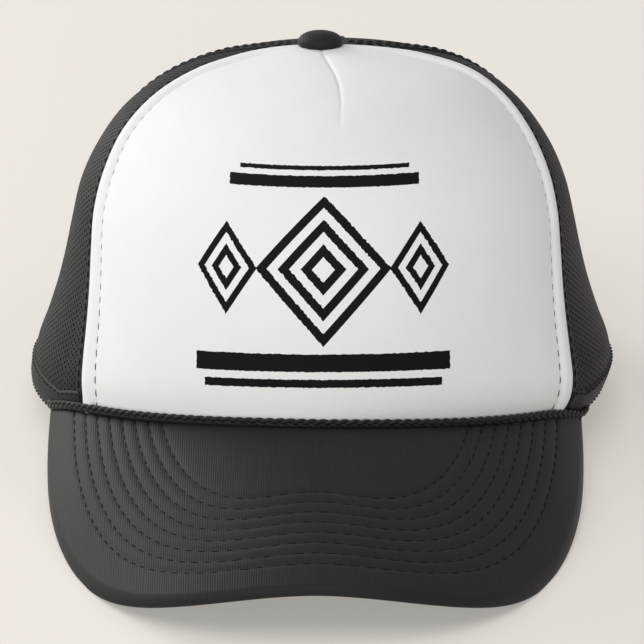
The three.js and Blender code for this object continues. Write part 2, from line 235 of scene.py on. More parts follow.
def level_at_height(angle, height):
    """Level at which the crown stands a given height above the rim plane."""
    angle, height = np.broadcast_arrays(np.asarray(angle, float), np.asarray(height, float))
    low, high = np.zeros(angle.shape), np.ones(angle.shape)
    for _ in range(30):
        middle = (low + high) / 2
        below = crown_point(angle, middle)[..., 2] < height
        low, high = np.where(below, middle, low), np.where(below, high, middle)
    return (low + high) / 2


def seam_angle(at_rim, at_top, level):
    return np.radians(at_rim + (at_top - at_rim) * level ** SEAM_SWEEP)


def gap_angle(angle, level):
    """Half of the gap between two sewn edges, as an angle round the crown."""
    angle, level = np.broadcast_arrays(np.asarray(angle, float), np.asarray(level, float))
    return SEAM_GAP / 2 / crown_plan(angle, level)[0]


# Shape of the bill

def bill_edge(share):
    angle = share * math.pi / 2
    across = np.abs(np.sin(angle)) / BILL_HALF_WIDTH
    along = np.cos(angle) / BILL_REACH
    radius = (across ** BILL_SQUARENESS + along ** BILL_SQUARENESS) ** (-1 / BILL_SQUARENESS)
    return np.stack((radius * np.sin(angle), ROOT_Y - radius * np.cos(angle)), -1)


def bill_seam(share):
    """The bill's lower and upper points on its seam with the crown."""
    angle = share * math.radians(ROOT_ANGLE)
    clearance = np.full(share.shape, FOAM_PROUD + SEAM_GAP)
    upper_level = level_at_height(angle, rim_height(angle) + BILL_THICKNESS)
    return crown_offset(angle, np.zeros_like(angle), clearance), crown_offset(angle, upper_level, clearance)


RIM_DEPTHS = (0.22, 0.5, 0.78)


def bill_loops(share, rows, tucked=False):
    """Loops of points round the bill, one for each share: top outwards, rim, and bottom inwards.

    Tucked corners run in under the crown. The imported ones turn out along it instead.
    """
    lower, upper = bill_seam(share)
    edge, start = bill_edge(share), upper[:, :2]
    if tucked:
        limit = BILL_HALF_WIDTH - BILL_CORNER
        start[:, 0] = np.clip(start[:, 0], -limit, limit)
        lower[:, 0] = np.clip(lower[:, 0], -limit, limit)
    else:
        edge[:, 0] = np.sign(share) * np.maximum(np.abs(edge[:, 0]), np.abs(start[:, 0]) + BILL_CORNER)
    width = np.linalg.norm(edge - start, axis=-1)
    rounding = np.minimum(BILL_EDGE_ROUND, width / 2)
    along = np.linspace(0, 1, rows + 1)[None, :] * (1 - rounding / width)[:, None]
    plan = start[:, None] + (edge - start)[:, None] * along[..., None]
    height = bill_top(plan[..., 0], plan[..., 1])
    drop = bill_drop(plan[..., 0], plan[..., 1])
    top = np.dstack((plan, height))
    bottom = np.dstack((plan, height - drop))
    bottom[:, 0, :2] = lower[:, :2]
    bottom[:, 0, 2] = bill_top(lower[:, 0], lower[:, 1]) - bill_drop(lower[:, 0], lower[:, 1])
    depth = np.array(RIM_DEPTHS)[None, :]
    bulge = 1 - (rounding / width)[:, None] * (1 - np.sin(depth * math.pi))
    plan = start[:, None] + (edge - start)[:, None] * bulge[..., None]
    height = bill_top(plan[..., 0], plan[..., 1]) - depth * bill_drop(plan[..., 0], plan[..., 1])
    return np.concatenate((top, np.dstack((plan, height)), bottom[:, ::-1]), axis=1)


# Place of the hat on the ground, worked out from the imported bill

OPENING_ANGLE = math.pi - math.asin(OPENING_WIDTH / 2 / float(crown_plan(np.array(math.pi), np.array(0.0))[0]))
REAR_CONTACT = float(crown_point(OPENING_ANGLE, 0.0)[1])
BILL_COLUMNS, BILL_ROWS = 44, 9
SOLID_BILL = bill_loops(np.linspace(-1, 1, BILL_COLUMNS + 1), BILL_ROWS).reshape(-1, 3)
REST_SLOPE = float(np.max(-SOLID_BILL[:, 2] / (REAR_CONTACT - SOLID_BILL[:, 1])))
REST_TILT = -math.atan(REST_SLOPE)


def pressed_flat(points):
    """Cloth that would pass through the ground is pressed flat on it."""
    points = points.copy()
    ground = REST_PRESS - (REAR_CONTACT - points[..., 1]) * REST_SLOPE
    points[..., 2] = np.maximum(points[..., 2], ground)
    return points


def tipped(points):
    """Turns points or directions from the crown's own frame to the resting hat's."""
    cosine, sine = math.cos(REST_TILT), math.sin(REST_TILT)
    x, y, z = np.moveaxis(np.asarray(points, float), -1, 0)
    return np.stack((x, y * cosine - z * sine, y * sine + z * cosine), -1)


REST_SHIFT = np.array(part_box("bill")[0]) - tipped(pressed_flat(SOLID_BILL)).min(axis=0)


def placed(points):
    """Points of the crown's own frame, as the hat rests."""
    return tipped(pressed_flat(points)) + REST_SHIFT


def on_crown(angle, level, distance=0.0):
    angle, level, distance = np.broadcast_arrays(angle, level, distance)
    return placed(crown_offset(angle, level, distance))


def flat_pattern(angle, level, middle):
    """Where a point of the crown lies on its panel's flat pattern: across from the middle line, and up."""
    angle, level = np.broadcast_arrays(np.asarray(angle, float), np.asarray(level, float))
    start = middle(level)
    across = np.zeros(angle.shape)
    parts = 24
    previous = crown_point(start, level)
    for part in range(1, parts + 1):
        point = crown_point(start + (angle - start) * part / parts, level)
        across += np.linalg.norm(point - previous, axis=-1)
        previous = point
    levels = np.linspace(0, 1, 200)
    spine = crown_point(middle(levels), levels)
    climb = np.concatenate(([0], np.cumsum(np.linalg.norm(np.diff(spine, axis=0), axis=-1))))
    return np.stack((across * np.sign(angle - start), np.interp(level, levels, climb)), -1)


# Mesh making

def mesh_object(name, points, faces, material, coordinates=None, smooth=True):
    """A mesh object at the origin, with its own flat UV map where coordinates are given."""
    mesh = bpy.data.meshes.new(name)
    mesh.from_pydata(points.reshape(-1, 3).tolist(), [], faces.tolist() if hasattr(faces, "tolist") else faces)
    if coordinates is not None:
        layer = mesh.uv_layers.new(name="flat")
        corners = np.empty(len(mesh.loops), int)
        mesh.loops.foreach_get("vertex_index", corners)
        layer.data.foreach_set("uv", coordinates.reshape(-1, 2)[corners].astype(np.float32).ravel())
    mesh.materials.append(material)
    if smooth:
        mesh.shade_smooth()
    obj = bpy.data.objects.new(name, mesh)
    bpy.context.scene.collection.objects.link(obj)
    return obj


def grid_faces(columns, rows, closed_rows=False, closed_columns=False):
    """Quads of a grid of points laid out as columns of rows."""
    i = np.arange(columns if closed_columns else columns - 1)[:, None]
    j = np.arange(rows if closed_rows else rows - 1)[None, :]
    a = i * rows + j
    b = ((i + 1) % columns) * rows + j
    c = ((i + 1) % columns) * rows + (j + 1) % rows
    d = i * rows + (j + 1) % rows
    return np.stack(np.broadcast_arrays(a, b, c, d), -1).reshape(-1, 4)


def wall(name, outer, inner, material, coordinates=None):
    """A closed wall between an outer and an inner grid of points."""
    columns, rows = outer.shape[:2]
    count = columns * rows
    front = grid_faces(columns, rows)
    back = grid_faces(columns, rows)[:, ::-1] + count
    ring = np.concatenate((
        np.arange(columns) * rows,
        (columns - 1) * rows + np.arange(1, rows),
        np.arange(columns - 2, -1, -1) * rows + rows - 1,
        np.arange(rows - 2, 0, -1),
    ))
    after = np.roll(ring, -1)
    rim = np.stack((after, ring, ring + count, after + count), -1)
    faces = np.concatenate((front, back, rim))
    if coordinates is not None:
        coordinates = np.concatenate((coordinates.reshape(-1, 2), coordinates.reshape(-1, 2)))
    points = np.concatenate((outer.reshape(-1, 3), inner.reshape(-1, 3)))
    obj = mesh_object(name, points, faces, material, coordinates)
    face_outwards(obj)
    return obj


def face_outwards(obj):
    """Turns a closed mesh's faces over if it is inside out."""
    mesh = obj.data
    mesh.calc_loop_triangles()
    points = np.empty(len(mesh.vertices) * 3)
    mesh.vertices.foreach_get("co", points)
    corners = np.empty(len(mesh.loop_triangles) * 3, int)
    mesh.loop_triangles.foreach_get("vertices", corners)
    a, b, c = np.moveaxis(points.reshape(-1, 3)[corners].reshape(-1, 3, 3), 1, 0)
    if np.einsum("ij,ij->i", a, np.cross(b, c)).sum() < 0:
        mesh.flip_normals()


def finish_piece(obj, slot, *nodes):
    """Rides the piece on the hat and hides the solids that it stands for. The slot argument is not used."""
    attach(obj, BODY)
    if nodes:
        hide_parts(*nodes)
    return obj


# Node trees

class Tree:
    """Adds nodes to a node tree and links them as they are made."""

    def __init__(self, tree):
        self.tree = tree

    def node(self, kind, settings=None, **inputs):
        node = self.tree.nodes.new(kind)
        for key, value in (settings or {}).items():
            setattr(node, key, value)
        for key, value in inputs.items():
            self.put(node, key, value)
        return node

    def put(self, node, key, value):
        """Sets or links an input, named by its number as in i0 or by its name with _ for a space."""
        if key[0] == "i" and key[1:].isdigit():
            socket = node.inputs[int(key[1:])]
        else:
            socket = node.inputs[key.replace("_", " ")]
        if isinstance(value, bpy.types.NodeSocket):
            self.tree.links.new(value, socket)
        else:
            socket.default_value = value

    def math(self, operation, a, b=0.0, c=0.0):
        kind = "ShaderNodeMath"
        return self.node(kind, {"operation": operation}, i0=a, i1=b, i2=c).outputs[0]

    def vector(self, operation, a, b=(0, 0, 0)):
        return self.node("ShaderNodeVectorMath", {"operation": operation}, i0=a, i1=b).outputs[0]

    def scaled(self, vector, amount):
        node = self.node("ShaderNodeVectorMath", {"operation": "SCALE"}, i0=vector)
        self.put(node, "Scale", amount)
        return node.outputs[0]


# Materials

def surface(name, colour, roughness, sheen=0.0, specular=0.5):
    """A plain Principled material and the helper that adds its nodes."""
    material = bpy.data.materials.new(name)
    material.use_nodes = True
    tree = Tree(material.node_tree)
    shader = material.node_tree.nodes["Principled BSDF"]
    shader.inputs["Base Color"].default_value = (*colour, 1)
    shader.inputs["Roughness"].default_value = roughness
    shader.inputs["Sheen Weight"].default_value = sheen
    shader.inputs["Sheen Roughness"].default_value = 0.45
    shader.inputs["Specular IOR Level"].default_value = specular
    return material, tree, shader


def varied(tree, colour, amount, factor):
    """The colour made darker and lighter by a factor around 0.5."""
    low = tuple(c * (1 - amount) for c in colour)
    high = tuple(c * (1 + amount) for c in colour)
    mix = tree.node("ShaderNodeMix", {"data_type": "RGBA"}, i0=factor)
    mix.inputs[6].default_value = (*low, 1)
    mix.inputs[7].default_value = (*high, 1)
    return mix.outputs[2]


def flat_coordinates(tree):
    return tree.node("ShaderNodeUVMap", {"uv_map": "flat"}).outputs[0]


def object_coordinates(tree):
    return tree.node("ShaderNodeTexCoord").outputs["Object"]


def noise(tree, place, scale, detail=2.0):
    node = tree.node("ShaderNodeTexNoise", None, Vector=place, Scale=scale, Detail=detail)
    return node.outputs["Fac"]


def bump(tree, shader, height, distance):
    node = tree.node("ShaderNodeBump", None, Height=height, Distance=distance)
    tree.put(shader, "Normal", node.outputs[0])


def wales(tree, coordinate, pitch):
    """A rounded wave across the cloth, one for each knitted wale or woven rib."""
    turned = tree.math("MULTIPLY", coordinate, 2 * math.pi / pitch)
    return tree.math("MULTIPLY_ADD", tree.math("SINE", turned), 0.5, 0.5)


def printed_diamonds(tree, place, settings):
    """Mask of a row of nested diamonds between bars, in print ink."""
    split = tree.node("ShaderNodeSeparateXYZ", None, Vector=place)
    ragged = tree.math("MULTIPLY_ADD", noise(tree, place, 900.0), 0.0007, -0.00035)
    x = tree.math("ADD", split.outputs[0], ragged)
    y = tree.math("SUBTRACT", tree.math("ADD", split.outputs[1], ragged), settings.print_height)
    size = settings.print_size
    mask = None
    for centre, half_width, half_height, steps in PRINT_DIAMONDS:
        aside = tree.math("ABSOLUTE", tree.math("SUBTRACT", x, centre * size))
        above = tree.math("ABSOLUTE", y)
        reach = tree.math("ADD", tree.math("DIVIDE", aside, half_width * size),
                          tree.math("DIVIDE", above, half_height * size))
        ring = tree.math("FRACT", tree.math("MULTIPLY", reach, steps / 2))
        inked = tree.math("MULTIPLY", tree.math("LESS_THAN", reach, 1.0), tree.math("GREATER_THAN", ring, 0.5))
        mask = inked if mask is None else tree.math("MAXIMUM", mask, inked)
    for height, thickness, half_length in PRINT_BARS:
        off = tree.math("ABSOLUTE", tree.math("SUBTRACT", y, height * size))
        within = tree.math("LESS_THAN", tree.math("ABSOLUTE", x), half_length * size)
        inked = tree.math("MULTIPLY", tree.math("LESS_THAN", off, thickness * size / 2), within)
        mask = tree.math("MAXIMUM", mask, inked)
    return mask


# Diamonds of the print: centre, half width and half height as shares of the print's
# half width, and the number of inked and bare steps from middle to tip
PRINT_DIAMONDS = (
    (0.0, 0.50, 0.56, 6),
    (-0.73, 0.24, 0.34, 4),
    (0.73, 0.24, 0.34, 4),
)
# Bars of the print: height, thickness and half length as shares of the print's half width
PRINT_BARS = (
    (-0.68, 0.13, 0.97),
    (-0.83, 0.06, 0.90),
    (0.68, 0.10, 0.72),
    (0.80, 0.04, 0.64),
)


def brushed_white(settings):
    """Brushed white knit bonded to foam, with its print."""
    colour = tuple(settings.colour)
    material, tree, shader = surface("brushed_white", colour, 0.92, sheen=0.03, specular=0.12)
    flat = flat_coordinates(tree)
    split = tree.node("ShaderNodeSeparateXYZ", None, Vector=flat)
    knit = wales(tree, split.outputs[0], settings.wale_pitch)
    fuzz = noise(tree, flat, 2600.0, 3.0)
    mottle = noise(tree, flat, 70.0, 3.0)
    cloth = varied(tree, colour, 0.025, mottle)
    ink = printed_diamonds(tree, flat, settings)
    mix = tree.node("ShaderNodeMix", {"data_type": "RGBA"}, i0=ink)
    tree.put(mix, "i6", cloth)
    mix.inputs[7].default_value = (*settings.ink, 1)
    tree.put(shader, "Base Color", mix.outputs[2])
    tree.put(shader, "Roughness", tree.math("MULTIPLY_ADD", ink, -0.25, 0.92))
    relief = tree.math("MULTIPLY_ADD", knit, 0.35, tree.math("MULTIPLY", fuzz, 0.65))
    bump(tree, shader, relief, 0.06 * MM)
    return material


def knitted_black(settings):
    """Black polyester net yarn."""
    colour = tuple(settings.colour)
    material, tree, shader = surface("knitted_black", colour, 0.6, sheen=0.03, specular=0.14)
    place = object_coordinates(tree)
    yarn = noise(tree, place, 2200.0, 2.0)
    tree.put(shader, "Base Color", varied(tree, colour, 0.25, noise(tree, place, 45.0, 2.0)))
    bump(tree, shader, yarn, 0.12 * MM)
    return material


def woven_black(settings):
    """Black cloth of the bill, with fine ribs that run from the crown to the front edge."""
    colour = tuple(settings.colour)
    material, tree, shader = surface("woven_black", colour, 0.6, sheen=0.04, specular=0.16)
    place = object_coordinates(tree)
    split = tree.node("ShaderNodeSeparateXYZ", None, Vector=place)
    streak = tree.vector("MULTIPLY", place, (1.0, 0.12, 0.3))
    wander = tree.math("MULTIPLY", noise(tree, streak, 260.0, 2.0), 0.9 * MM)
    rib = wales(tree, tree.math("ADD", split.outputs[0], wander), settings.rib_pitch)
    weft = wales(tree, tree.math("ADD", split.outputs[1], wander), settings.rib_pitch * 0.8)
    slub = noise(tree, streak, 900.0, 2.0)
    # The base colour is darker in the ribs' grooves, which is painted shade, and it also varies with the slubs
    # along the yarn.
    rib_shade_and_slub = tree.math("MULTIPLY_ADD", rib, 0.45, tree.math("MULTIPLY", slub, 0.55))
    tree.put(shader, "Base Color", varied(tree, colour, 0.22, rib_shade_and_slub))
    relief = tree.math("MULTIPLY_ADD", weft, 0.3, tree.math("ADD", rib, tree.math("MULTIPLY", slub, 0.6)))
    bump(tree, shader, relief, 0.045 * MM)
    return material


def taped_black(settings):
    """Black tape that binds the rim, and the folded edges of the net."""
    colour = tuple(settings.tape_colour)
    material, tree, shader = surface("taped_black", colour, 0.6, sheen=0.03, specular=0.14)
    place = object_coordinates(tree)
    weave = noise(tree, place, 1500.0, 2.0)
    tree.put(shader, "Base Color", varied(tree, colour, 0.2, noise(tree, place, 120.0, 3.0)))
    bump(tree, shader, weave, 0.12 * MM)
    return material


def sewing_thread(settings):
    material, tree, shader = surface("sewing_thread", tuple(settings.colour), 0.6, specular=0.1)
    place = object_coordinates(tree)
    bump(tree, shader, noise(tree, place, 3000.0, 1.0), 0.05 * MM)
    return material


def braided_black(settings):
    """Yarn of the braided cord."""
    colour = tuple(settings.colour)
    material, tree, shader = surface("braided_black", colour, 0.5, sheen=0.04, specular=0.22)
    place = object_coordinates(tree)
    tree.put(shader, "Base Color", varied(tree, colour, 0.2, noise(tree, place, 300.0, 2.0)))
    bump(tree, shader, noise(tree, place, 3500.0, 2.0), 0.08 * MM)
    return material


def moulded_black(settings):
    """Moulded plastic of the strap."""
    colour = tuple(settings.colour)
    material, tree, shader = surface("moulded_black", colour, 0.38, specular=0.5)
    place = object_coordinates(tree)
    tree.put(shader, "Roughness", tree.math("MULTIPLY_ADD", noise(tree, place, 60.0), 0.15, 0.3))
    bump(tree, shader, noise(tree, place, 900.0), 0.02 * MM)
    return material


# Geometry node trees

def group_with(name, sockets):
    """A geometry node group with a geometry input and output and the named inputs."""
    group = bpy.data.node_groups.new(name, "GeometryNodeTree")
    group.interface.new_socket("Geometry", in_out="INPUT", socket_type="NodeSocketGeometry")
    for label, kind, default in sockets:
        socket = group.interface.new_socket(label, in_out="INPUT", socket_type=kind)
        if default is not None:
            socket.default_value = default
    group.interface.new_socket("Geometry", in_out="OUTPUT", socket_type="NodeSocketGeometry")
    tree = Tree(group)
    return group, tree, tree.node("NodeGroupInput"), tree.node("NodeGroupOutput")


def made_by(obj, group, material, **values):
    """Runs a node group on an object, and returns the result as a plain mesh object in its place."""
    modifier = obj.modifiers.new(group.name, "NODES")
    modifier.node_group = group
    for item in group.interface.items_tree:
        if item.in_out == "INPUT" and item.name in values:
            modifier[item.identifier] = values[item.name]
        if item.in_out == "INPUT" and item.name == "Material":
            modifier[item.identifier] = material
    bpy.context.view_layer.update()
    evaluated = obj.evaluated_get(bpy.context.evaluated_depsgraph_get())
    mesh = bpy.data.meshes.new_from_object(evaluated)
    obj.modifiers.remove(modifier)
    name = obj.name
    source = obj.data
    bpy.data.objects.remove(obj)
    bpy.data.meshes.remove(source)
    made = bpy.data.objects.new(name, mesh)
    mesh.name = name
    bpy.context.scene.collection.objects.link(made)
    if not len(mesh.polygons):
        raise RuntimeError(f"{name} came out empty")
    return made


def named_vector(tree, name):
    """The vector attribute that the points carry under a name."""
    return tree.node("GeometryNodeInputNamedAttribute", {"data_type": "FLOAT_VECTOR"}, Name=name).outputs[0]


def deliver(tree, output, geometry, material):
    """Ends a tree: real meshes, in one material, at the output."""
    whole = tree.node("GeometryNodeRealizeInstances", None, Geometry=geometry)
    coloured = tree.node("GeometryNodeSetMaterial", None, Geometry=whole.outputs[0], Material=material)
    tree.put(output, "Geometry", coloured.outputs[0])


def net_tree():
    """A flat sheet of hexagonal holes laid on a panel through its flat UV map."""
    group, tree, given, output = group_with("Knitted net", (
        ("Width", "NodeSocketFloat", 0.1),
        ("Height", "NodeSocketFloat", 0.1),
        ("Pitch", "NodeSocketFloat", 0.0024),
        ("Hole", "NodeSocketFloat", 0.6),
        ("Thickness", "NodeSocketFloat", 0.0006),
        ("Material", "NodeSocketMaterial", None),
    ))
    put = given.outputs
    row_pitch = tree.math("MULTIPLY", put["Pitch"], math.sqrt(3) / 2)
    across = tree.math("CEIL", tree.math("DIVIDE", put["Width"], put["Pitch"]))
    up = tree.math("CEIL", tree.math("DIVIDE", put["Height"], row_pitch))
    grid = tree.node("GeometryNodeMeshGrid", None,
                     Size_X=tree.math("MULTIPLY", across, put["Pitch"]),
                     Size_Y=tree.math("MULTIPLY", up, row_pitch),
                     Vertices_X=tree.math("ADD", across, 1.0), Vertices_Y=tree.math("ADD", up, 1.0))
    place = tree.node("GeometryNodeInputPosition").outputs[0]
    height = tree.node("ShaderNodeSeparateXYZ", None, Vector=place).outputs[1]
    from_foot = tree.math("MULTIPLY_ADD", tree.math("MULTIPLY", up, row_pitch), 0.5, height)
    row = tree.math("ROUND", tree.math("DIVIDE", from_foot, row_pitch))
    odd = tree.math("PINGPONG", row, 1.0)
    half_pitch = tree.math("MULTIPLY", tree.math("MULTIPLY", odd, 0.5), put["Pitch"])
    shift = tree.node("ShaderNodeCombineXYZ", None, X=half_pitch)
    staggered = tree.node("GeometryNodeSetPosition", None, Geometry=grid.outputs[0], Offset=shift.outputs[0])
    triangles = tree.node("GeometryNodeTriangulate", None, Mesh=staggered.outputs[0])
    cells = tree.node("GeometryNodeDualMesh", None, Mesh=triangles.outputs[0])
    inset = tree.node("GeometryNodeExtrudeMesh", {"mode": "FACES"}, Mesh=cells.outputs[0],
                      Offset_Scale=0.0, Individual=True)
    shrunk = tree.node("GeometryNodeScaleElements", {"domain": "FACE"}, Geometry=inset.outputs[0],
                       Selection=inset.outputs[1], Scale=put["Hole"])
    holed = tree.node("GeometryNodeDeleteGeometry", {"domain": "FACE"}, Geometry=shrunk.outputs[0],
                      Selection=inset.outputs[1])
    lifted = tree.vector("ADD", place, tree.node(
        "ShaderNodeCombineXYZ", None, Y=tree.math("MULTIPLY", put["Height"], 0.5)).outputs[0])
    raised = tree.node("GeometryNodeSetPosition", None, Geometry=holed.outputs[0], Position=lifted)
    pattern = named_vector(tree, "flat")
    here = tree.node("GeometryNodeInputPosition").outputs[0]

    def sampled(value):
        node = tree.node("GeometryNodeSampleUVSurface", {"data_type": "FLOAT_VECTOR"}, Mesh=put["Geometry"])
        tree.put(node, "Value", value)
        tree.put(node, "UV Map", pattern)
        tree.put(node, "Sample UV", here)
        return node

    on_panel = sampled(tree.node("GeometryNodeInputPosition").outputs[0])
    outside = tree.node("FunctionNodeBooleanMath", {"operation": "NOT"}, i0=on_panel.outputs["Is Valid"])
    trimmed = tree.node("GeometryNodeDeleteGeometry", {"domain": "POINT"}, Geometry=raised.outputs[0],
                        Selection=outside.outputs[0])
    thick = tree.node("GeometryNodeExtrudeMesh", {"mode": "FACES"}, Mesh=trimmed.outputs[0],
                      Offset=(0, 0, 1), Offset_Scale=put["Thickness"], Individual=False)
    under = tree.node("GeometryNodeFlipFaces", None, Mesh=trimmed.outputs[0])
    both = tree.node("GeometryNodeJoinGeometry", None)
    tree.put(both, "Geometry", thick.outputs[0])
    tree.put(both, "Geometry", under.outputs[0])
    welded = tree.node("GeometryNodeMergeByDistance", None, Geometry=both.outputs[0], Distance=1e-6)
    depth = tree.node("ShaderNodeSeparateXYZ", None, Vector=here).outputs[2]
    normal = sampled(tree.node("GeometryNodeInputNormal").outputs[0]).outputs[0]
    draped = tree.vector("ADD", on_panel.outputs[0], tree.scaled(normal, depth))
    laid = tree.node("GeometryNodeSetPosition", None, Geometry=welded.outputs[0], Position=draped)
    deliver(tree, output, laid.outputs[0], put["Material"])
    return group


def stitch_tree():
    """Stitches of thread along rows, which stand up along the rows' own directions."""
    group, tree, given, output = group_with("Stitch rows", (
        ("Pitch", "NodeSocketFloat", 0.004),
        ("Length", "NodeSocketFloat", 0.003),
        ("Thickness", "NodeSocketFloat", 0.0005),
        ("Material", "NodeSocketMaterial", None),
    ))
    put = given.outputs
    rows = tree.node("GeometryNodeMeshToCurve", None, Mesh=put["Geometry"])
    spaced = tree.node("GeometryNodeResampleCurve", {"mode": "LENGTH"},
                       Curve=rows.outputs[0], Length=put["Pitch"])
    upwards = named_vector(tree, "up")
    along = tree.node("GeometryNodeInputTangent").outputs[0]
    turned = tree.node("FunctionNodeAxesToRotation", {"primary_axis": "X", "secondary_axis": "Z"})
    tree.put(turned, "i0", along)
    tree.put(turned, "i1", upwards)
    ball = tree.node("GeometryNodeMeshUVSphere", None, Segments=8, Rings=6, Radius=0.5)
    size = tree.node("ShaderNodeCombineXYZ", None, X=put["Length"], Y=put["Thickness"], Z=put["Thickness"])
    thread = tree.node("GeometryNodeTransform", None, Geometry=ball.outputs[0], Scale=size.outputs[0])
    laid = tree.node("GeometryNodeInstanceOnPoints", None, Points=spaced.outputs[0],
                     Instance=thread.outputs[0], Rotation=turned.outputs[0])
    real = tree.node("GeometryNodeRealizeInstances", None, Geometry=laid.outputs[0])
    shaded = tree.node("GeometryNodeSetShadeSmooth", None, Geometry=real.outputs[0])
    deliver(tree, output, shaded.outputs[0], put["Material"])
    return group


def plait_tree():
    """Three strands that cross over each other in turn along a path, and lie flat to its upward direction."""
    group, tree, given, output = group_with("Plaited cord", (
        ("Period", "NodeSocketFloat", 0.0096),
        ("Sway", "NodeSocketFloat", 0.0007),
        ("Depth", "NodeSocketFloat", 0.00035),
        ("Strand", "NodeSocketFloat", 0.0006),
        ("Steps", "NodeSocketInt", 600),
        ("Material", "NodeSocketMaterial", None),
    ))
    put = given.outputs
    path = tree.node("GeometryNodeMeshToCurve", None, Mesh=put["Geometry"])
    fine = tree.node("GeometryNodeResampleCurve", {"mode": "COUNT"}, Curve=path.outputs[0], Count=put["Steps"])
    copies = tree.node("GeometryNodeDuplicateElements", {"domain": "SPLINE"},
                       Geometry=fine.outputs[0], Amount=3)
    length = tree.node("GeometryNodeSplineParameter").outputs["Length"]
    turn = tree.math("DIVIDE", tree.math("MULTIPLY", length, 2 * math.pi), put["Period"])
    turn = tree.math("MULTIPLY_ADD", copies.outputs["Duplicate Index"], 2 * math.pi / 3, turn)
    across = tree.math("MULTIPLY", tree.math("SINE", turn), put["Sway"])
    over = tree.math("MULTIPLY", tree.math("SINE", tree.math("MULTIPLY", turn, 2.0)), put["Depth"])
    tangent = tree.node("GeometryNodeInputTangent").outputs[0]
    up = named_vector(tree, "up")
    side = tree.vector("NORMALIZE", tree.vector("CROSS_PRODUCT", tangent, up))
    sway = tree.vector("ADD", tree.scaled(side, across), tree.scaled(up, over))
    held = tree.node("GeometryNodeStoreNamedAttribute", {"data_type": "FLOAT_VECTOR", "domain": "POINT"},
                     Geometry=copies.outputs[0], Name="sway", Value=sway)
    offset = named_vector(tree, "sway")
    woven = tree.node("GeometryNodeSetPosition", None, Geometry=held.outputs[0], Offset=offset)
    strand = tree.node("GeometryNodeCurvePrimitiveCircle", None, Resolution=8, Radius=put["Strand"])
    strands = tree.node("GeometryNodeCurveToMesh", None, Curve=woven.outputs[0],
                        Profile_Curve=strand.outputs[0], Fill_Caps=True)
    # A plain strand of cord under the plait fills the gap down to the bill: a dark piece put where there is
    # only shade.
    middle = tree.node("GeometryNodeResampleCurve", {"mode": "COUNT"}, Curve=path.outputs[0], Count=160)
    gap_shade_path = tree.node("GeometryNodeSetPosition", None, Geometry=middle.outputs[0],
                        Offset=tree.scaled(side, tree.math("MULTIPLY", put["Sway"], 1.1)))
    gap_shade_strand = tree.node("GeometryNodeCurveToMesh", None, Curve=gap_shade_path.outputs[0],
                        Profile_Curve=strand.outputs[0], Fill_Caps=True)
    both = tree.node("GeometryNodeJoinGeometry", None)
    tree.put(both, "Geometry", strands.outputs[0])
    tree.put(both, "Geometry", gap_shade_strand.outputs[0])
    shaded = tree.node("GeometryNodeSetShadeSmooth", None, Geometry=both.outputs[0])
    deliver(tree, output, shaded.outputs[0], put["Material"])
    return group


def row_object(name, rows):
    """A mesh of open rows of points, each with the surface's direction at the point kept as up."""
    points, edges, upwards = [], [], []
    for places, normals in rows:
        first = len(points)
        points.extend(places.tolist())
        upwards.extend(normals.tolist())
        edges.extend((first + k, first + k + 1) for k in range(len(places) - 1))
    mesh = bpy.data.meshes.new(name)
    mesh.from_pydata(points, edges, [])
    attribute = mesh.attributes.new("up", "FLOAT_VECTOR", "POINT")
    attribute.data.foreach_set("vector", np.array(upwards, np.float32).ravel())
    obj = bpy.data.objects.new(name, mesh)
    bpy.context.scene.collection.objects.link(obj)
    return obj


def sewn(name, rows, settings, pitch, length):
    """Rows of stitches as one mesh piece."""
    thread = settings.thickness
    material = bpy.data.materials.get("sewing_thread") or sewing_thread(settings)
    made = made_by(row_object(name, rows), bpy.data.node_groups.get("Stitch rows") or stitch_tree(), material,
                   Pitch=pitch, Length=length, Thickness=thread)
    return finish_piece(made, "black_twill")


# Settings

def length(name, description, default):
    """A setting in metres, shown in the scene's own unit."""
    return bpy.props.FloatProperty(name=name, description=description, default=default, unit="LENGTH")


def tint(name, description, default):
    """A colour setting."""
    return bpy.props.FloatVectorProperty(
        name=name, description=description, default=default, subtype="COLOR", size=3, min=0, max=1)


class HAT_PG_foam(bpy.types.PropertyGroup):
    """Foam front panel"""
    colour: tint("Cloth colour", "Colour of the brushed knit", (0.80, 0.80, 0.79))
    ink: tint("Ink colour", "Colour of the print", (0.004, 0.004, 0.004))
    wale_pitch: length("Wale pitch", "Distance between the knit's wales", 0.0006)
    print_size: length("Print half width", "Half of the print's width", 0.0405)
    print_height: length("Print height", "Height of the print's middle up the panel", 0.050)
    margin_roll: length("Margin roll", "How far the margin beside the seam swells", 0.0009)
    groove_depth: length("Groove depth", "Depth of the stitched groove", 0.0009)
    groove_width: length("Groove width", "Half width of the stitched groove", 0.0009)
    pleat_depth: length("Pleat depth", "Depth of the pleat at the button", 0.0013)
    pleat_width: length("Pleat width", "Width of the pleat", 0.0024)


class HAT_PG_net(bpy.types.PropertyGroup):
    """Net panels"""
    colour: tint("Net colour", "Colour of the net's yarn", (0.009, 0.009, 0.0095))
    tape_colour: tint("Tape colour", "Colour of the rim's tape and the folded edges", (0.010, 0.010, 0.0105))
    pitch: length("Hole pitch", "Distance between the net's holes", 0.0021)
    hole: bpy.props.FloatProperty(
        name="Hole share", description="Width of a hole as a share of the pitch", default=0.40, min=0, max=1)
    thickness: length("Net thickness", "Thickness of the knitted net", 0.0007)
    fold_width: length("Fold width", "Width of the net's folded edges at the seams", 0.0042)
    hem_width: length("Hem width", "Width of the tape along the rim", 0.009)
    fold_height: length("Fold height", "How far folds stand over the net", 0.00035)


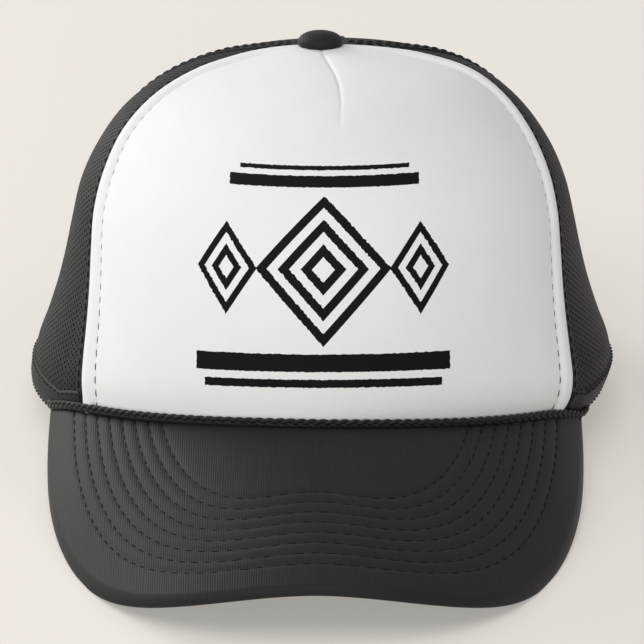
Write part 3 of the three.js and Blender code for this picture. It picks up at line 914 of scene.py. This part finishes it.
class HAT_PG_bill(bpy.types.PropertyGroup):
    """Bill"""
    colour: tint("Cloth colour", "Colour of the bill's cloth", (0.0155, 0.0155, 0.0157))
    rib_pitch: length("Rib pitch", "Distance between the cloth's ribs", 0.0007)
    rows: bpy.props.IntProperty(
        name="Stitched rows", description="Rows of stitches round the bill", default=8, min=0)
    first_row: length("First row", "Distance of the outermost row from the edge", 0.0105)
    row_pitch: length("Row pitch", "Distance between the rows in the middle", 0.0044)
    crowding: bpy.props.FloatProperty(
        name="Crowding", description="Share by which the rows close up towards the sides",
        default=0.19, min=0, max=1)
    crowding_width: length("Crowding width", "Distance from the middle over which the rows close up", 0.026)
    row_depth: length("Row depth", "Depth of the dent along a row", 0.00055)
    stitch_pitch: length("Stitch pitch", "Distance between the bill's stitches", 0.0045)


class HAT_PG_cord(bpy.types.PropertyGroup):
    """Braided cord"""
    colour: tint("Cord colour", "Colour of the cord's yarn", (0.010, 0.010, 0.0102))
    period: length("Plait period", "Length over which a strand crosses and comes back", 0.0096)
    sway: length("Sway", "How far a strand swings to each side", 0.00074)
    depth: length("Depth", "How far a strand passes over and under", 0.00034)
    strand: length("Strand radius", "Radius of a strand", 0.00062)


class HAT_PG_trim(bpy.types.PropertyGroup):
    """Sewing thread"""
    colour: tint("Thread colour", "Colour of the sewing thread", (0.004, 0.004, 0.004))
    thickness: length("Thread thickness", "Thickness of a stitch", 0.00055)


class HAT_PG_strap(bpy.types.PropertyGroup):
    """Snap strap"""
    colour: tint("Strap colour", "Colour of the strap's plastic", (0.018, 0.018, 0.019))


class HAT_PG_stage(bpy.types.PropertyGroup):
    """Floor, camera and lights"""
    floor_colour: tint("Floor colour", "Colour of the floor", (0.52, 0.49, 0.45))
    elevation: bpy.props.FloatProperty(
        name="Elevation", description="Camera's elevation over the hat's rim plane", default=math.radians(16.5),
        subtype="ANGLE")
    distance: length("Distance", "Camera's distance from its target", 1.3)
    lens: bpy.props.FloatProperty(
        name="Lens", description="Camera's focal length in millimetres", default=231.6)


class HAT_PG_settings(bpy.types.PropertyGroup):
    """Settings of the whole hat"""
    foam: bpy.props.PointerProperty(type=HAT_PG_foam, name="Foam panel", description="Foam front panel")
    net: bpy.props.PointerProperty(type=HAT_PG_net, name="Net", description="Net panels and their edges")
    bill: bpy.props.PointerProperty(type=HAT_PG_bill, name="Bill", description="Bill")
    cord: bpy.props.PointerProperty(type=HAT_PG_cord, name="Cord", description="Braided cord")
    trim: bpy.props.PointerProperty(type=HAT_PG_trim, name="Trim", description="Button and thread")
    strap: bpy.props.PointerProperty(type=HAT_PG_strap, name="Strap", description="Snap strap")
    stage: bpy.props.PointerProperty(type=HAT_PG_stage, name="Stage", description="Floor, camera and lights")


# Foam front panel

FOAM_EDGE_ROUND = 0.8 * MM


def foam_edge(level):
    return seam_angle(FRONT_SEAM_AT_RIM, FRONT_SEAM_AT_TOP, level)


def foam_shares():
    """Shares across half of the panel, close together at the pleat and along the margin."""
    pleat = np.linspace(0, 0.12, 26)[:-1]
    field = np.linspace(0.12, 0.86, 58)[:-1]
    margin = np.linspace(0.86, 1, 42)
    half = np.concatenate((pleat, field, margin))
    return np.concatenate((-half[:0:-1], half))


def pleat_relief(angle, level, settings):
    """The dart in front of the button: a narrow crease in a soft valley, which is wider on one side."""
    apex = crown_point(0.0, 1.0)
    here = crown_point(angle, level)
    share = np.clip(np.hypot(apex[1] - here[..., 1], apex[2] - here[..., 2]) / PLEAT_LENGTH, 0, 1)
    radius, _, _ = crown_plan(angle, level)
    aside = radius * np.sin(angle) - PLEAT_DRIFT * share
    fade = (1 - share) ** 0.6 * smoothstep(share, 0, 0.1)
    width = settings.pleat_width
    valley = 0.55 * np.exp(-np.abs(aside) / np.where(aside < 0, 1.5 * width, 0.8 * width))
    crease = 0.5 * np.exp(-(aside / (0.2 * width)) ** 2)
    return -settings.pleat_depth * fade * (valley + crease)


def margin_inset(angle, level):
    """Distance from the panel's edge, along the surface."""
    radius, _, _ = crown_plan(angle, level)
    return radius * (foam_edge(level) - np.abs(angle - math.radians(FRONT_TWIST)))


def foam_relief(angle, level, settings):
    inset = np.maximum(margin_inset(angle, level), 0)
    fade = smoothstep(level, 0.0, 0.10) * (1 - smoothstep(level, 0.86, 0.97))
    roll = np.where(inset < MARGIN_WIDTH, np.sin(math.pi * np.clip(inset / MARGIN_WIDTH, 0, 1)) ** 0.8, 0)
    groove = np.exp(-((inset - MARGIN_WIDTH) / settings.groove_width) ** 2)
    swell = smoothstep(inset, MARGIN_WIDTH, 3 * MARGIN_WIDTH)
    fall = rounded_over(inset, FOAM_EDGE_ROUND)
    relief = FOAM_PROUD + fade * (settings.margin_roll * roll - settings.groove_depth * groove)
    relief = relief + 0.15 * MM * fade * swell - fall
    return relief + pleat_relief(angle, level, settings)


class HAT_OT_foam(bpy.types.Operator):
    """Makes the foam front panel with its rolled margin, pleat and print"""
    bl_idname = "hat.foam_panel"
    bl_label = "Foam front panel"

    def execute(self, context):
        settings = context.scene.trucker_hat.foam
        level = np.linspace(0, 1, 141)[None, :]
        edge = foam_edge(level)
        trimmed = edge - gap_angle(edge, level)
        angle = math.radians(FRONT_TWIST) + foam_shares()[:, None] * trimmed
        level = np.broadcast_to(level, angle.shape)
        outer = on_crown(angle, level, foam_relief(angle, level, settings))
        inner = on_crown(angle, level, FOAM_PROUD - FOAM_WALL)
        flat = flat_pattern(angle, level, lambda at: np.zeros_like(at))
        piece = wall("foam_front", outer, inner, brushed_white(settings), flat)
        finish_piece(piece, "white_foam_cloth", "front_panel")
        return {"FINISHED"}


# Net panels and their folded edges

def front_seam(side):
    """Seam between the foam panel and a side panel, as an angle from the middle of the front."""
    def seam(level):
        return foam_edge(level) + side * math.radians(FRONT_TWIST)
    return seam


def side_seam(level):
    return seam_angle(SIDE_SEAM_AT_RIM, SIDE_SEAM_AT_TOP, level)


def back_seam(level):
    return np.full_like(level, math.pi)


def side_place(side, across, level):
    """Angle and level of a point of a side panel."""
    front, rear = front_seam(side)(level), side_seam(level)
    start = front + gap_angle(front, level)
    stop = rear - gap_angle(rear, level)
    return side * (start + (stop - start) * across), level


# Share of a back panel's width that lies along the rim, and the rest round the opening
RIM_SHARE = 0.4


def arch_angle(turn):
    """Angle on the opening's arch, from its foot at 0 to its middle at a quarter turn."""
    return math.pi - (math.pi - OPENING_ANGLE) * np.cos(turn)


def back_edge(across):
    """The back panel's lower edge: along the rim, then up round the opening."""
    along = np.clip(across / RIM_SHARE, 0, 1)
    start = math.radians(SIDE_SEAM_AT_RIM)
    on_rim = start + (OPENING_ANGLE - start) * along
    turn = np.clip((across - RIM_SHARE) / (1 - RIM_SHARE), 0, 1) * math.pi / 2
    level = level_at_height(np.full_like(across, math.pi), OPENING_HEIGHT * np.sin(turn))
    return np.where(across < RIM_SHARE, on_rim, arch_angle(turn)), np.where(across < RIM_SHARE, 0, level)


def back_place(side, across, up):
    """Angle and level of a point of a back panel."""
    edge_angle, edge_level = back_edge(across)
    level = edge_level + (1 - edge_level) * up
    sweep = (level ** SEAM_SWEEP - edge_level ** SEAM_SWEEP) / (1 - edge_level ** SEAM_SWEEP)
    top = math.radians(SIDE_SEAM_AT_TOP) + (math.pi - math.radians(SIDE_SEAM_AT_TOP)) * across
    angle = edge_angle + (top - edge_angle) * sweep
    gap = gap_angle(angle, level)
    trim = gap * np.where(across == 1, -1, 1 - across)
    return side * (angle + trim), level


def side_middle(side):
    def middle(level):
        return side * (foam_edge(level) + side_seam(level)) / 2
    return middle


def back_middle(side):
    def middle(level):
        return side * (side_seam(level) + math.pi) / 2
    return middle


NET_PANELS = (
    ("net_side_left", "mesh_side_left", side_place, side_middle, 1),
    ("net_side_right", "mesh_side_right", side_place, side_middle, -1),
    ("net_back_left", "mesh_back_left", back_place, back_middle, 1),
    ("net_back_right", "mesh_back_right", back_place, back_middle, -1),
)


class HAT_OT_net(bpy.types.Operator):
    """Makes the four panels of knitted net"""
    bl_idname = "hat.net_panels"
    bl_label = "Net panels"

    def execute(self, context):
        settings = context.scene.trucker_hat.net
        material = knitted_black(settings)
        group = net_tree()
        for name, node, place, middle, side in NET_PANELS:
            across, up = np.meshgrid(np.linspace(0, 1, 61), np.linspace(0, 1, 101), indexing="ij")
            angle, level = place(side, across, up)
            depth = NET_WALL / 2 + settings.thickness / 2
            points = on_crown(angle, level, -depth)
            flat = flat_pattern(angle, level, middle(side))
            turned = np.stack((flat[..., 1].max() / 2 - flat[..., 1], flat[..., 0] - flat[..., 0].min()), -1)
            faces = grid_faces(*angle.shape)
            sheet = mesh_object(name, points, faces[:, ::side], material, turned)
            width, height = np.ptp(turned.reshape(-1, 2), axis=0)
            net = made_by(sheet, group, material, Width=float(width) + 2 * settings.pitch,
                          Height=float(height) + settings.pitch, Pitch=settings.pitch,
                          Hole=settings.hole, Thickness=settings.thickness)
            finish_piece(net, "black_net", node)
        return {"FINISHED"}


def folded_strip(name, angle, level, height, material):
    """A soft strip round the net's edge, with its long edges rolled over."""
    rows = angle.shape[1]
    across = np.linspace(-1, 1, rows)[None, :]
    crown = np.sqrt(np.maximum(1 - np.abs(across) ** 5, 0))
    outer = on_crown(angle, level, height * crown - 0.05 * MM)
    inner = on_crown(angle, level, -NET_WALL - 0.25 * MM * crown)
    return wall(name, outer, inner, material)


def seam_strip(seam, side, inwards, width, first_level, last_level, count=120, rows=9):
    """Angles and levels of a strip beside a seam, which starts at the seam and lies on one side of it."""
    level = np.linspace(first_level, last_level, count)[:, None]
    edge = seam(level)
    radius, _, _ = crown_plan(edge, level)
    offset = 0.02 * MM + np.linspace(0, width, rows)[None, :]
    fit = np.minimum(1, 0.45 * radius / width)
    return side * (edge + inwards * offset * fit / radius), np.broadcast_to(level, (count, rows))


def rim_path(side):
    """The rim from the front seam to the opening, and round the opening's arch to its middle."""
    start = math.radians(FRONT_SEAM_AT_RIM) + side * math.radians(FRONT_TWIST)
    along = np.linspace(start, OPENING_ANGLE, 90)
    turn = np.linspace(0, math.pi / 2, 70)[1:]
    angle = np.concatenate((along, arch_angle(turn)))
    height = np.concatenate((rim_height(along), OPENING_HEIGHT * np.sin(turn)))
    return angle, height


def rim_strip(side, width, rows=11):
    """Angles and levels of the tape along the rim and the opening."""
    angle, height = rim_path(side)
    girth = crown_plan(angle, np.zeros_like(angle))[0]
    along = np.stack((np.gradient(angle) * girth, np.gradient(height)), -1)
    along /= np.linalg.norm(along, axis=-1, keepdims=True)
    inwards = np.stack((-along[:, 1], along[:, 0]), -1)
    corner = np.abs(angle - OPENING_ANGLE) * girth < width
    smooth = np.copy(inwards)
    for _ in range(12):
        smooth[1:-1] = (smooth[:-2] + smooth[1:-1] + smooth[2:]) / 3
    inwards = np.where(corner[:, None], smooth, inwards)
    offset = np.linspace(0, width, rows)[None, :]
    wide = angle[:, None] + inwards[:, :1] * offset / girth[:, None]
    high = height[:, None] + inwards[:, 1:] * offset
    return side * np.minimum(wide, math.pi), level_at_height(wide, high)


# Level at which the seams' folds end under the button
FOLD_TOP = 0.985


class HAT_OT_edges(bpy.types.Operator):
    """Makes the folded edges of the net at the seams and the tape round the rim"""
    bl_idname = "hat.net_edges"
    bl_label = "Folded edges and rim tape"

    def execute(self, context):
        settings = context.scene.trucker_hat.net
        material = taped_black(settings)
        width, height = settings.fold_width, settings.fold_height
        arch_level = float(level_at_height(math.pi, OPENING_HEIGHT))
        for hand, side in (("left", 1), ("right", -1)):
            strips = (
                ("front", seam_strip(front_seam(side), side, 1, width, 0.0, FOLD_TOP)),
                ("side", seam_strip(side_seam, side, -1, width, 0.0, FOLD_TOP)),
                ("rear", seam_strip(side_seam, side, 1, width, 0.0, FOLD_TOP)),
                ("back", seam_strip(back_seam, side, -1, width, arch_level, FOLD_TOP)),
            )
            for label, (angle, level) in strips:
                piece = folded_strip(f"net_fold_{label}_{hand}", angle, level, height, material)
                finish_piece(piece, "black_net")
            angle, level = rim_strip(side, settings.hem_width)
            tape = folded_strip(f"rim_tape_{hand}", angle, level, height * 1.4, material)
            finish_piece(tape, "black_twill")
        return {"FINISHED"}


# Bill

def edge_inset(x, y):
    """Distance in plan from the bill's outer edge."""
    fine = bill_edge(np.linspace(-1, 1, 721))
    nearest = np.full(x.shape, np.inf)
    for a, b in zip(fine[:-1], fine[1:]):
        along = b - a
        t = np.clip(((x - a[0]) * along[0] + (y - a[1]) * along[1]) / (along @ along), 0, 1)
        nearest = np.minimum(nearest, (x - a[0] - t * along[0]) ** 2 + (y - a[1] - t * along[1]) ** 2)
    return np.sqrt(nearest)


def row_crowding(x, settings):
    """How much closer together the rows run at a distance x from the middle of the bill."""
    return 1 - settings.crowding * (1 - np.exp(-(x / settings.crowding_width) ** 2))


def row_dents(inset, settings):
    """Depth of the bill's cloth at the stitched rows, which pull it down into sharp valleys."""
    last = settings.first_row + (settings.rows - 1) * settings.row_pitch
    phase = np.abs((inset - settings.first_row) / settings.row_pitch)
    phase = np.where((inset > settings.first_row) & (inset < last), phase % 1.0, phase)
    to_row = np.minimum(phase, 1 - phase) * settings.row_pitch
    to_row = np.where(inset <= settings.first_row, settings.first_row - inset, to_row)
    to_row = np.where(inset >= last, inset - last, to_row)
    return settings.row_depth * np.exp(-to_row / (0.17 * settings.row_pitch))


class HAT_OT_bill(bpy.types.Operator):
    """Makes the bill's cloth cover with its dented rows of stitches"""
    bl_idname = "hat.bill"
    bl_label = "Bill"

    def execute(self, context):
        settings = context.scene.trucker_hat.bill
        share = np.linspace(-1, 1, 331)
        share = np.sign(share) * (1 - (1 - np.abs(share)) ** 1.15)
        rows = 112
        loops = bill_loops(share, rows, tucked=True)
        inset = edge_inset(loops[..., 0], loops[..., 1])
        flat_on = slice(0, rows + 1)
        flat_under = slice(rows + 1 + len(RIM_DEPTHS), None)
        evened = inset / row_crowding(loops[..., 0], settings)
        dents = row_dents(evened, settings) * smoothstep(inset, 0, 0.004)
        loops[:, flat_on, 2] -= dents[:, flat_on]
        loops[:, flat_under, 2] += 0.7 * dents[:, flat_under]
        columns, count = loops.shape[:2]
        points = placed(loops)
        faces = grid_faces(columns, count, closed_rows=True).tolist()
        faces.append(list(range(count)))
        faces.append([(columns - 1) * count + k for k in range(count)][::-1])
        piece = mesh_object("bill_cover", points, faces, woven_black(settings))
        face_outwards(piece)
        finish_piece(piece, "black_twill", "bill")
        return {"FINISHED"}


def bill_row(inset_wanted, settings, under=False):
    """Points and upward directions of one stitched row of the bill, from seam to seam."""
    fine = bill_edge(np.linspace(-1, 1, 1441))
    along = np.gradient(fine, axis=0)
    along /= np.linalg.norm(along, axis=-1, keepdims=True)
    inwards = np.stack((-along[:, 1], along[:, 0]), -1)
    distance = np.full(len(fine), inset_wanted)
    for _ in range(6):
        inner = fine + inwards * distance[:, None]
        distance = inset_wanted * row_crowding(inner[:, 0], settings)
    inner = fine + inwards * distance[:, None]
    angle = np.arctan2(inner[:, 0], -inner[:, 1])
    radius = crown_plan(angle, np.zeros_like(angle))[0]
    keep = np.hypot(inner[:, 0], inner[:, 1]) > radius + 2.2 * MM
    keep &= np.abs(angle) < math.radians(ROOT_ANGLE)
    keep &= np.abs(edge_inset(inner[:, 0], inner[:, 1]) - distance) < 0.1 * MM
    inner = inner[keep]
    x, y = inner.T
    slope_x, slope_y = bill_slopes(x, y)
    upwards = np.stack((-slope_x, -slope_y, np.ones_like(x)), -1)
    upwards /= np.linalg.norm(upwards, axis=-1, keepdims=True)
    height = bill_top(x, y) - settings.row_depth
    if under:
        height = bill_top(x, y) - bill_drop(x, y) + 0.7 * settings.row_depth
        upwards = -upwards
    return np.stack((x, y, height), -1), upwards


# Pitch and length of the stitches beside the foam panel's margin, and of those on seams and rim
MARGIN_STITCH = (0.0041, 0.0025)
SEAM_STITCH = (0.0034, 0.0024)
SEAM_STITCH_INSET = 2.3 * MM


class HAT_OT_stitches(bpy.types.Operator):
    """Sews the rows of stitches on the bill, the foam panel's margin, the seams and the rim"""
    bl_idname = "hat.stitches"
    bl_label = "Stitches"

    def execute(self, context):
        hat = context.scene.trucker_hat
        trim = hat.trim
        for label, under in (("top", False), ("under", True)):
            rows = []
            for number in range(hat.bill.rows):
                points, upwards = bill_row(hat.bill.first_row + number * hat.bill.row_pitch, hat.bill, under)
                rows.append((placed(points), tipped(upwards)))
            sewn(f"bill_stitches_{label}", rows, trim, hat.bill.stitch_pitch, 0.72 * hat.bill.stitch_pitch)
        level = np.linspace(0.03, 0.99, 400)
        for hand, side in (("left", 1), ("right", -1)):
            edge = foam_edge(level)
            radius, _, _ = crown_plan(edge, level)
            angle = math.radians(FRONT_TWIST) + side * (edge - MARGIN_WIDTH / radius)
            up_to = level < 0.93
            sunk = 0.6 * MM * smoothstep(level, 0.72, 0.9)
            points = on_crown(angle, level, foam_relief(angle, level, hat.foam) + 0.12 * MM - sunk)
            normals = tipped(crown_normal(angle, level))
            sewn(f"margin_stitches_{hand}", [(points[up_to], normals[up_to])], trim, *MARGIN_STITCH)
            rows = []
            for seam, inwards in ((front_seam(side), 1), (side_seam, -1), (side_seam, 1), (back_seam, -1)):
                low = 0.5 if seam is back_seam else 0.09
                at = np.linspace(low, 0.95, 300)
                line = seam(at)
                beside = line + inwards * SEAM_STITCH_INSET / crown_plan(line, at)[0]
                rows.append((on_crown(side * beside, at, hat.net.fold_height),
                             tipped(crown_normal(side * beside, at))))
            sewn(f"seam_stitches_{hand}", rows, trim, *SEAM_STITCH)
            angle, level_grid = rim_strip(side, hat.net.hem_width)
            rows = []
            for row in (1, angle.shape[1] - 2):
                normals = tipped(crown_normal(angle[:, row], level_grid[:, row]))
                rows.append((on_crown(angle[:, row], level_grid[:, row], hat.net.fold_height * 1.3), normals))
            sewn(f"rim_stitches_{hand}", rows, trim, *SEAM_STITCH)
        return {"FINISHED"}


# Cord, button and strap

def cord_path(settings):
    """Middle line of the plait in the corner between crown and bill, and the direction that it faces."""
    share = np.linspace(-1, 1, 241)
    end, root = math.radians(CORD_END_ANGLE), math.radians(ROOT_ANGLE)
    angle = share * end
    on_bill = np.clip(angle, -root, root)
    away = FOAM_PROUD + settings.strand + settings.depth
    radius, _, lean = crown_plan(on_bill, np.full_like(on_bill, 0.05))
    seam_height = bill_top((radius + away) * np.sin(on_bill) + lean, -(radius + away) * np.cos(on_bill))
    past = np.clip((np.abs(angle) - root + math.radians(3)) / (end - root + math.radians(3)), 0, 1)
    lift = settings.strand + settings.sway + 0.35 * MM - 1.7 * MM * past ** 2
    level = level_at_height(angle, seam_height + lift)
    tucked = away - (away + 0.4 * MM) * past ** 2
    return on_crown(angle, level, tucked), tipped(crown_normal(angle, level))


CORD_STEPS = 640


class HAT_OT_cord(bpy.types.Operator):
    """Makes the plaited cord over the seam between crown and bill"""
    bl_idname = "hat.bill_cord"
    bl_label = "Plaited cord"

    def execute(self, context):
        settings = context.scene.trucker_hat.cord
        material = braided_black(settings)
        piece = made_by(row_object("plaited_cord", [cord_path(settings)]), plait_tree(), material,
                        Period=settings.period, Sway=settings.sway, Depth=settings.depth,
                        Strand=settings.strand, Steps=CORD_STEPS)
        finish_piece(piece, "black_braid", "bill_cord")
        return {"FINISHED"}


class HAT_OT_button(bpy.types.Operator):
    """Makes the covered button on top of the crown"""
    bl_idname = "hat.button"
    bl_label = "Covered button"

    def execute(self, context):
        seat = FOAM_PROUD + 0.4 * SEAM_GAP
        lip = 0.9 * MM
        turn = np.linspace(0, math.pi / 2, 18)
        radius = np.concatenate(([0.0025, 0.0034, 0.0052, 0.0066], BUTTON_RADIUS * np.cos(turn) ** 0.9))
        height = np.concatenate(([seat - 0.002, seat - 0.0006, seat - 0.0006, seat - 0.0004],
                                 seat + lip - 0.0007 + (BUTTON_HEIGHT - lip) * np.sin(turn) ** 0.85))
        around = np.linspace(0, 2 * math.pi, 72, endpoint=False)[:, None]
        gather = 0.09 * MM * np.cos(12 * around) * smoothstep(height, seat + 0.002, seat)[None, :]
        points = np.stack(((radius + gather) * np.cos(around), (radius + gather) * np.sin(around),
                           np.broadcast_to(height, (72, len(height)))), -1)
        centre = np.array((CROWN_LEAN * CROWN_SECTIONS[-1, -1], 0, CROWN_HEIGHT))
        points = placed(points + centre)
        columns, rows = points.shape[:2]
        faces = grid_faces(columns, rows, closed_columns=True).tolist()
        faces.append([c * rows for c in range(columns)])
        piece = mesh_object("covered_button", points, faces, bpy.data.materials["woven_black"])
        merge_pole(piece)
        face_outwards(piece)
        finish_piece(piece, "black_twill", "crown_button")
        return {"FINISHED"}


def merge_pole(obj):
    """Joins points that lie on each other, as at a pole."""
    mesh = bmesh.new()
    mesh.from_mesh(obj.data)
    bmesh.ops.remove_doubles(mesh, verts=mesh.verts, dist=1e-6)
    mesh.to_mesh(obj.data)
    mesh.free()


STRAP_EDGE_ROUND = 0.6 * MM


class HAT_OT_strap(bpy.types.Operator):
    """Makes the plastic snap strap across the back opening"""
    bl_idname = "hat.snap_strap"
    bl_label = "Snap strap"

    def execute(self, context):
        settings = context.scene.trucker_hat.strap
        girth = float(crown_plan(np.array(math.pi), np.array(0.0))[0])
        reach = math.pi - OPENING_ANGLE + STRAP_OVERLAP / girth
        angle = math.pi + np.linspace(-reach, reach, 121)[:, None]
        rows = np.linspace(0, 1, 25)[None, :]
        level = level_at_height(angle, STRAP_LIFT + STRAP_HEIGHT * rows)
        edge = np.minimum(rows, 1 - rows) * STRAP_HEIGHT
        fall = rounded_over(edge, STRAP_EDGE_ROUND)
        outside = -NET_WALL - STRAP_GAP
        outer = on_crown(angle, level, outside - fall)
        inner = on_crown(angle, level, outside - STRAP_THICKNESS + fall)
        piece = wall("strap", outer, inner, moulded_black(settings))
        finish_piece(piece, "black_plastic", "snap_strap")
        return {"FINISHED"}


# Stage

def area_light(name, place, target, size, power):
    """A round white light that faces its target."""
    light = bpy.data.lights.new(name, "AREA")
    light.shape = "DISK"
    light.size = size
    light.energy = power
    obj = bpy.data.objects.new(name, light)
    obj.location = place
    obj.rotation_euler = (Vector(target) - Vector(place)).to_track_quat("-Z", "Y").to_euler()
    bpy.context.scene.collection.objects.link(obj)


# The floor's own weak glow, which keeps the shade on it soft
FLOOR_GLOW = (1.0, 0.955, 0.90, 1)
FLOOR_GLOW_STRENGTH = 0.33
FLOOR_REACH = 30.0


def floor_material(colour):
    material, tree, shader = surface("pale_floor", tuple(colour), 0.9, specular=0.2)
    shader.inputs["Emission Color"].default_value = FLOOR_GLOW
    shader.inputs["Emission Strength"].default_value = FLOOR_GLOW_STRENGTH
    place = object_coordinates(tree)
    tree.put(shader, "Base Color", varied(tree, tuple(colour), 0.01, noise(tree, place, 3.0, 2.0)))
    return material


# Point of the crown's own frame that the camera looks at
CAMERA_TARGET = (1.98 * MM, -27.0 * MM, 25.5 * MM)


class HAT_OT_stage(bpy.types.Operator):
    """Lays the pale floor, the studio lights and the camera"""
    bl_idname = "hat.stage"
    bl_label = "Stage"

    def execute(self, context):
        settings = context.scene.trucker_hat.stage
        corners = FLOOR_REACH * np.array([(-1, -1, 0), (1, -1, 0), (1, 1, 0), (-1, 1, 0)], float)
        material = floor_material(settings.floor_colour)
        floor = mesh_object("floor", corners, [(0, 1, 2, 3)], material, smooth=False)

        world = bpy.data.worlds.new("studio")
        world.use_nodes = True
        backdrop = world.node_tree.nodes["Background"]
        backdrop.inputs["Color"].default_value = (1.0, 1.0, 1.0, 1)
        backdrop.inputs["Strength"].default_value = 0.40
        context.scene.world = world
        context.scene.view_settings.view_transform = "Standard"

        middle = (0, 0, 0.06)
        area_light("key", (-1.9, -0.9, 1.2), middle, 1.6, 10)
        area_light("top", (-0.3, -1.1, 1.9), middle, 1.8, 20)
        area_light("rim", (-1.5, 1.5, 0.8), middle, 1.2, 26)
        area_light("low", (0.2, -2.6, 0.35), middle, 1.6, 11)

        camera_data = bpy.data.cameras.new("camera")
        camera_data.lens = settings.lens
        camera_data.sensor_width = 36
        camera_data.clip_end = 100
        camera = bpy.data.objects.new("camera", camera_data)
        target = np.array(CAMERA_TARGET)
        away = np.array((0, -math.cos(settings.elevation), math.sin(settings.elevation)))
        camera.location = tipped(target + away * settings.distance) + REST_SHIFT
        look = -tipped(away)
        camera.rotation_euler = Vector(look).to_track_quat("-Z", "Y").to_euler()
        context.scene.collection.objects.link(camera)
        context.scene.camera = camera
        return {"FINISHED"}


OPERATORS = (HAT_OT_stage, HAT_OT_foam, HAT_OT_net, HAT_OT_edges, HAT_OT_bill, HAT_OT_stitches,
             HAT_OT_cord, HAT_OT_button, HAT_OT_strap)


class HAT_PT_sidebar(bpy.types.Panel):
    """Lists the hat's pieces"""
    bl_idname = "HAT_PT_sidebar"
    bl_label = "Trucker Hat"
    bl_space_type = "VIEW_3D"
    bl_region_type = "UI"
    bl_category = "Trucker Hat"

    def draw(self, context):
        for operator in OPERATORS:
            self.layout.operator(operator.bl_idname)


CLASSES = (HAT_PG_foam, HAT_PG_net, HAT_PG_bill, HAT_PG_cord, HAT_PG_trim, HAT_PG_strap, HAT_PG_stage,
           HAT_PG_settings, *OPERATORS, HAT_PT_sidebar)


def register():
    for item in CLASSES:
        bpy.utils.register_class(item)
    bpy.types.Scene.trucker_hat = bpy.props.PointerProperty(type=HAT_PG_settings)


def unregister():
    del bpy.types.Scene.trucker_hat
    for item in reversed(CLASSES):
        bpy.utils.unregister_class(item)


def main():
    register()
    for operator in OPERATORS:
        group, name = operator.bl_idname.split(".")
        getattr(getattr(bpy.ops, group), name)()


if __name__ == "__main__":
    main()
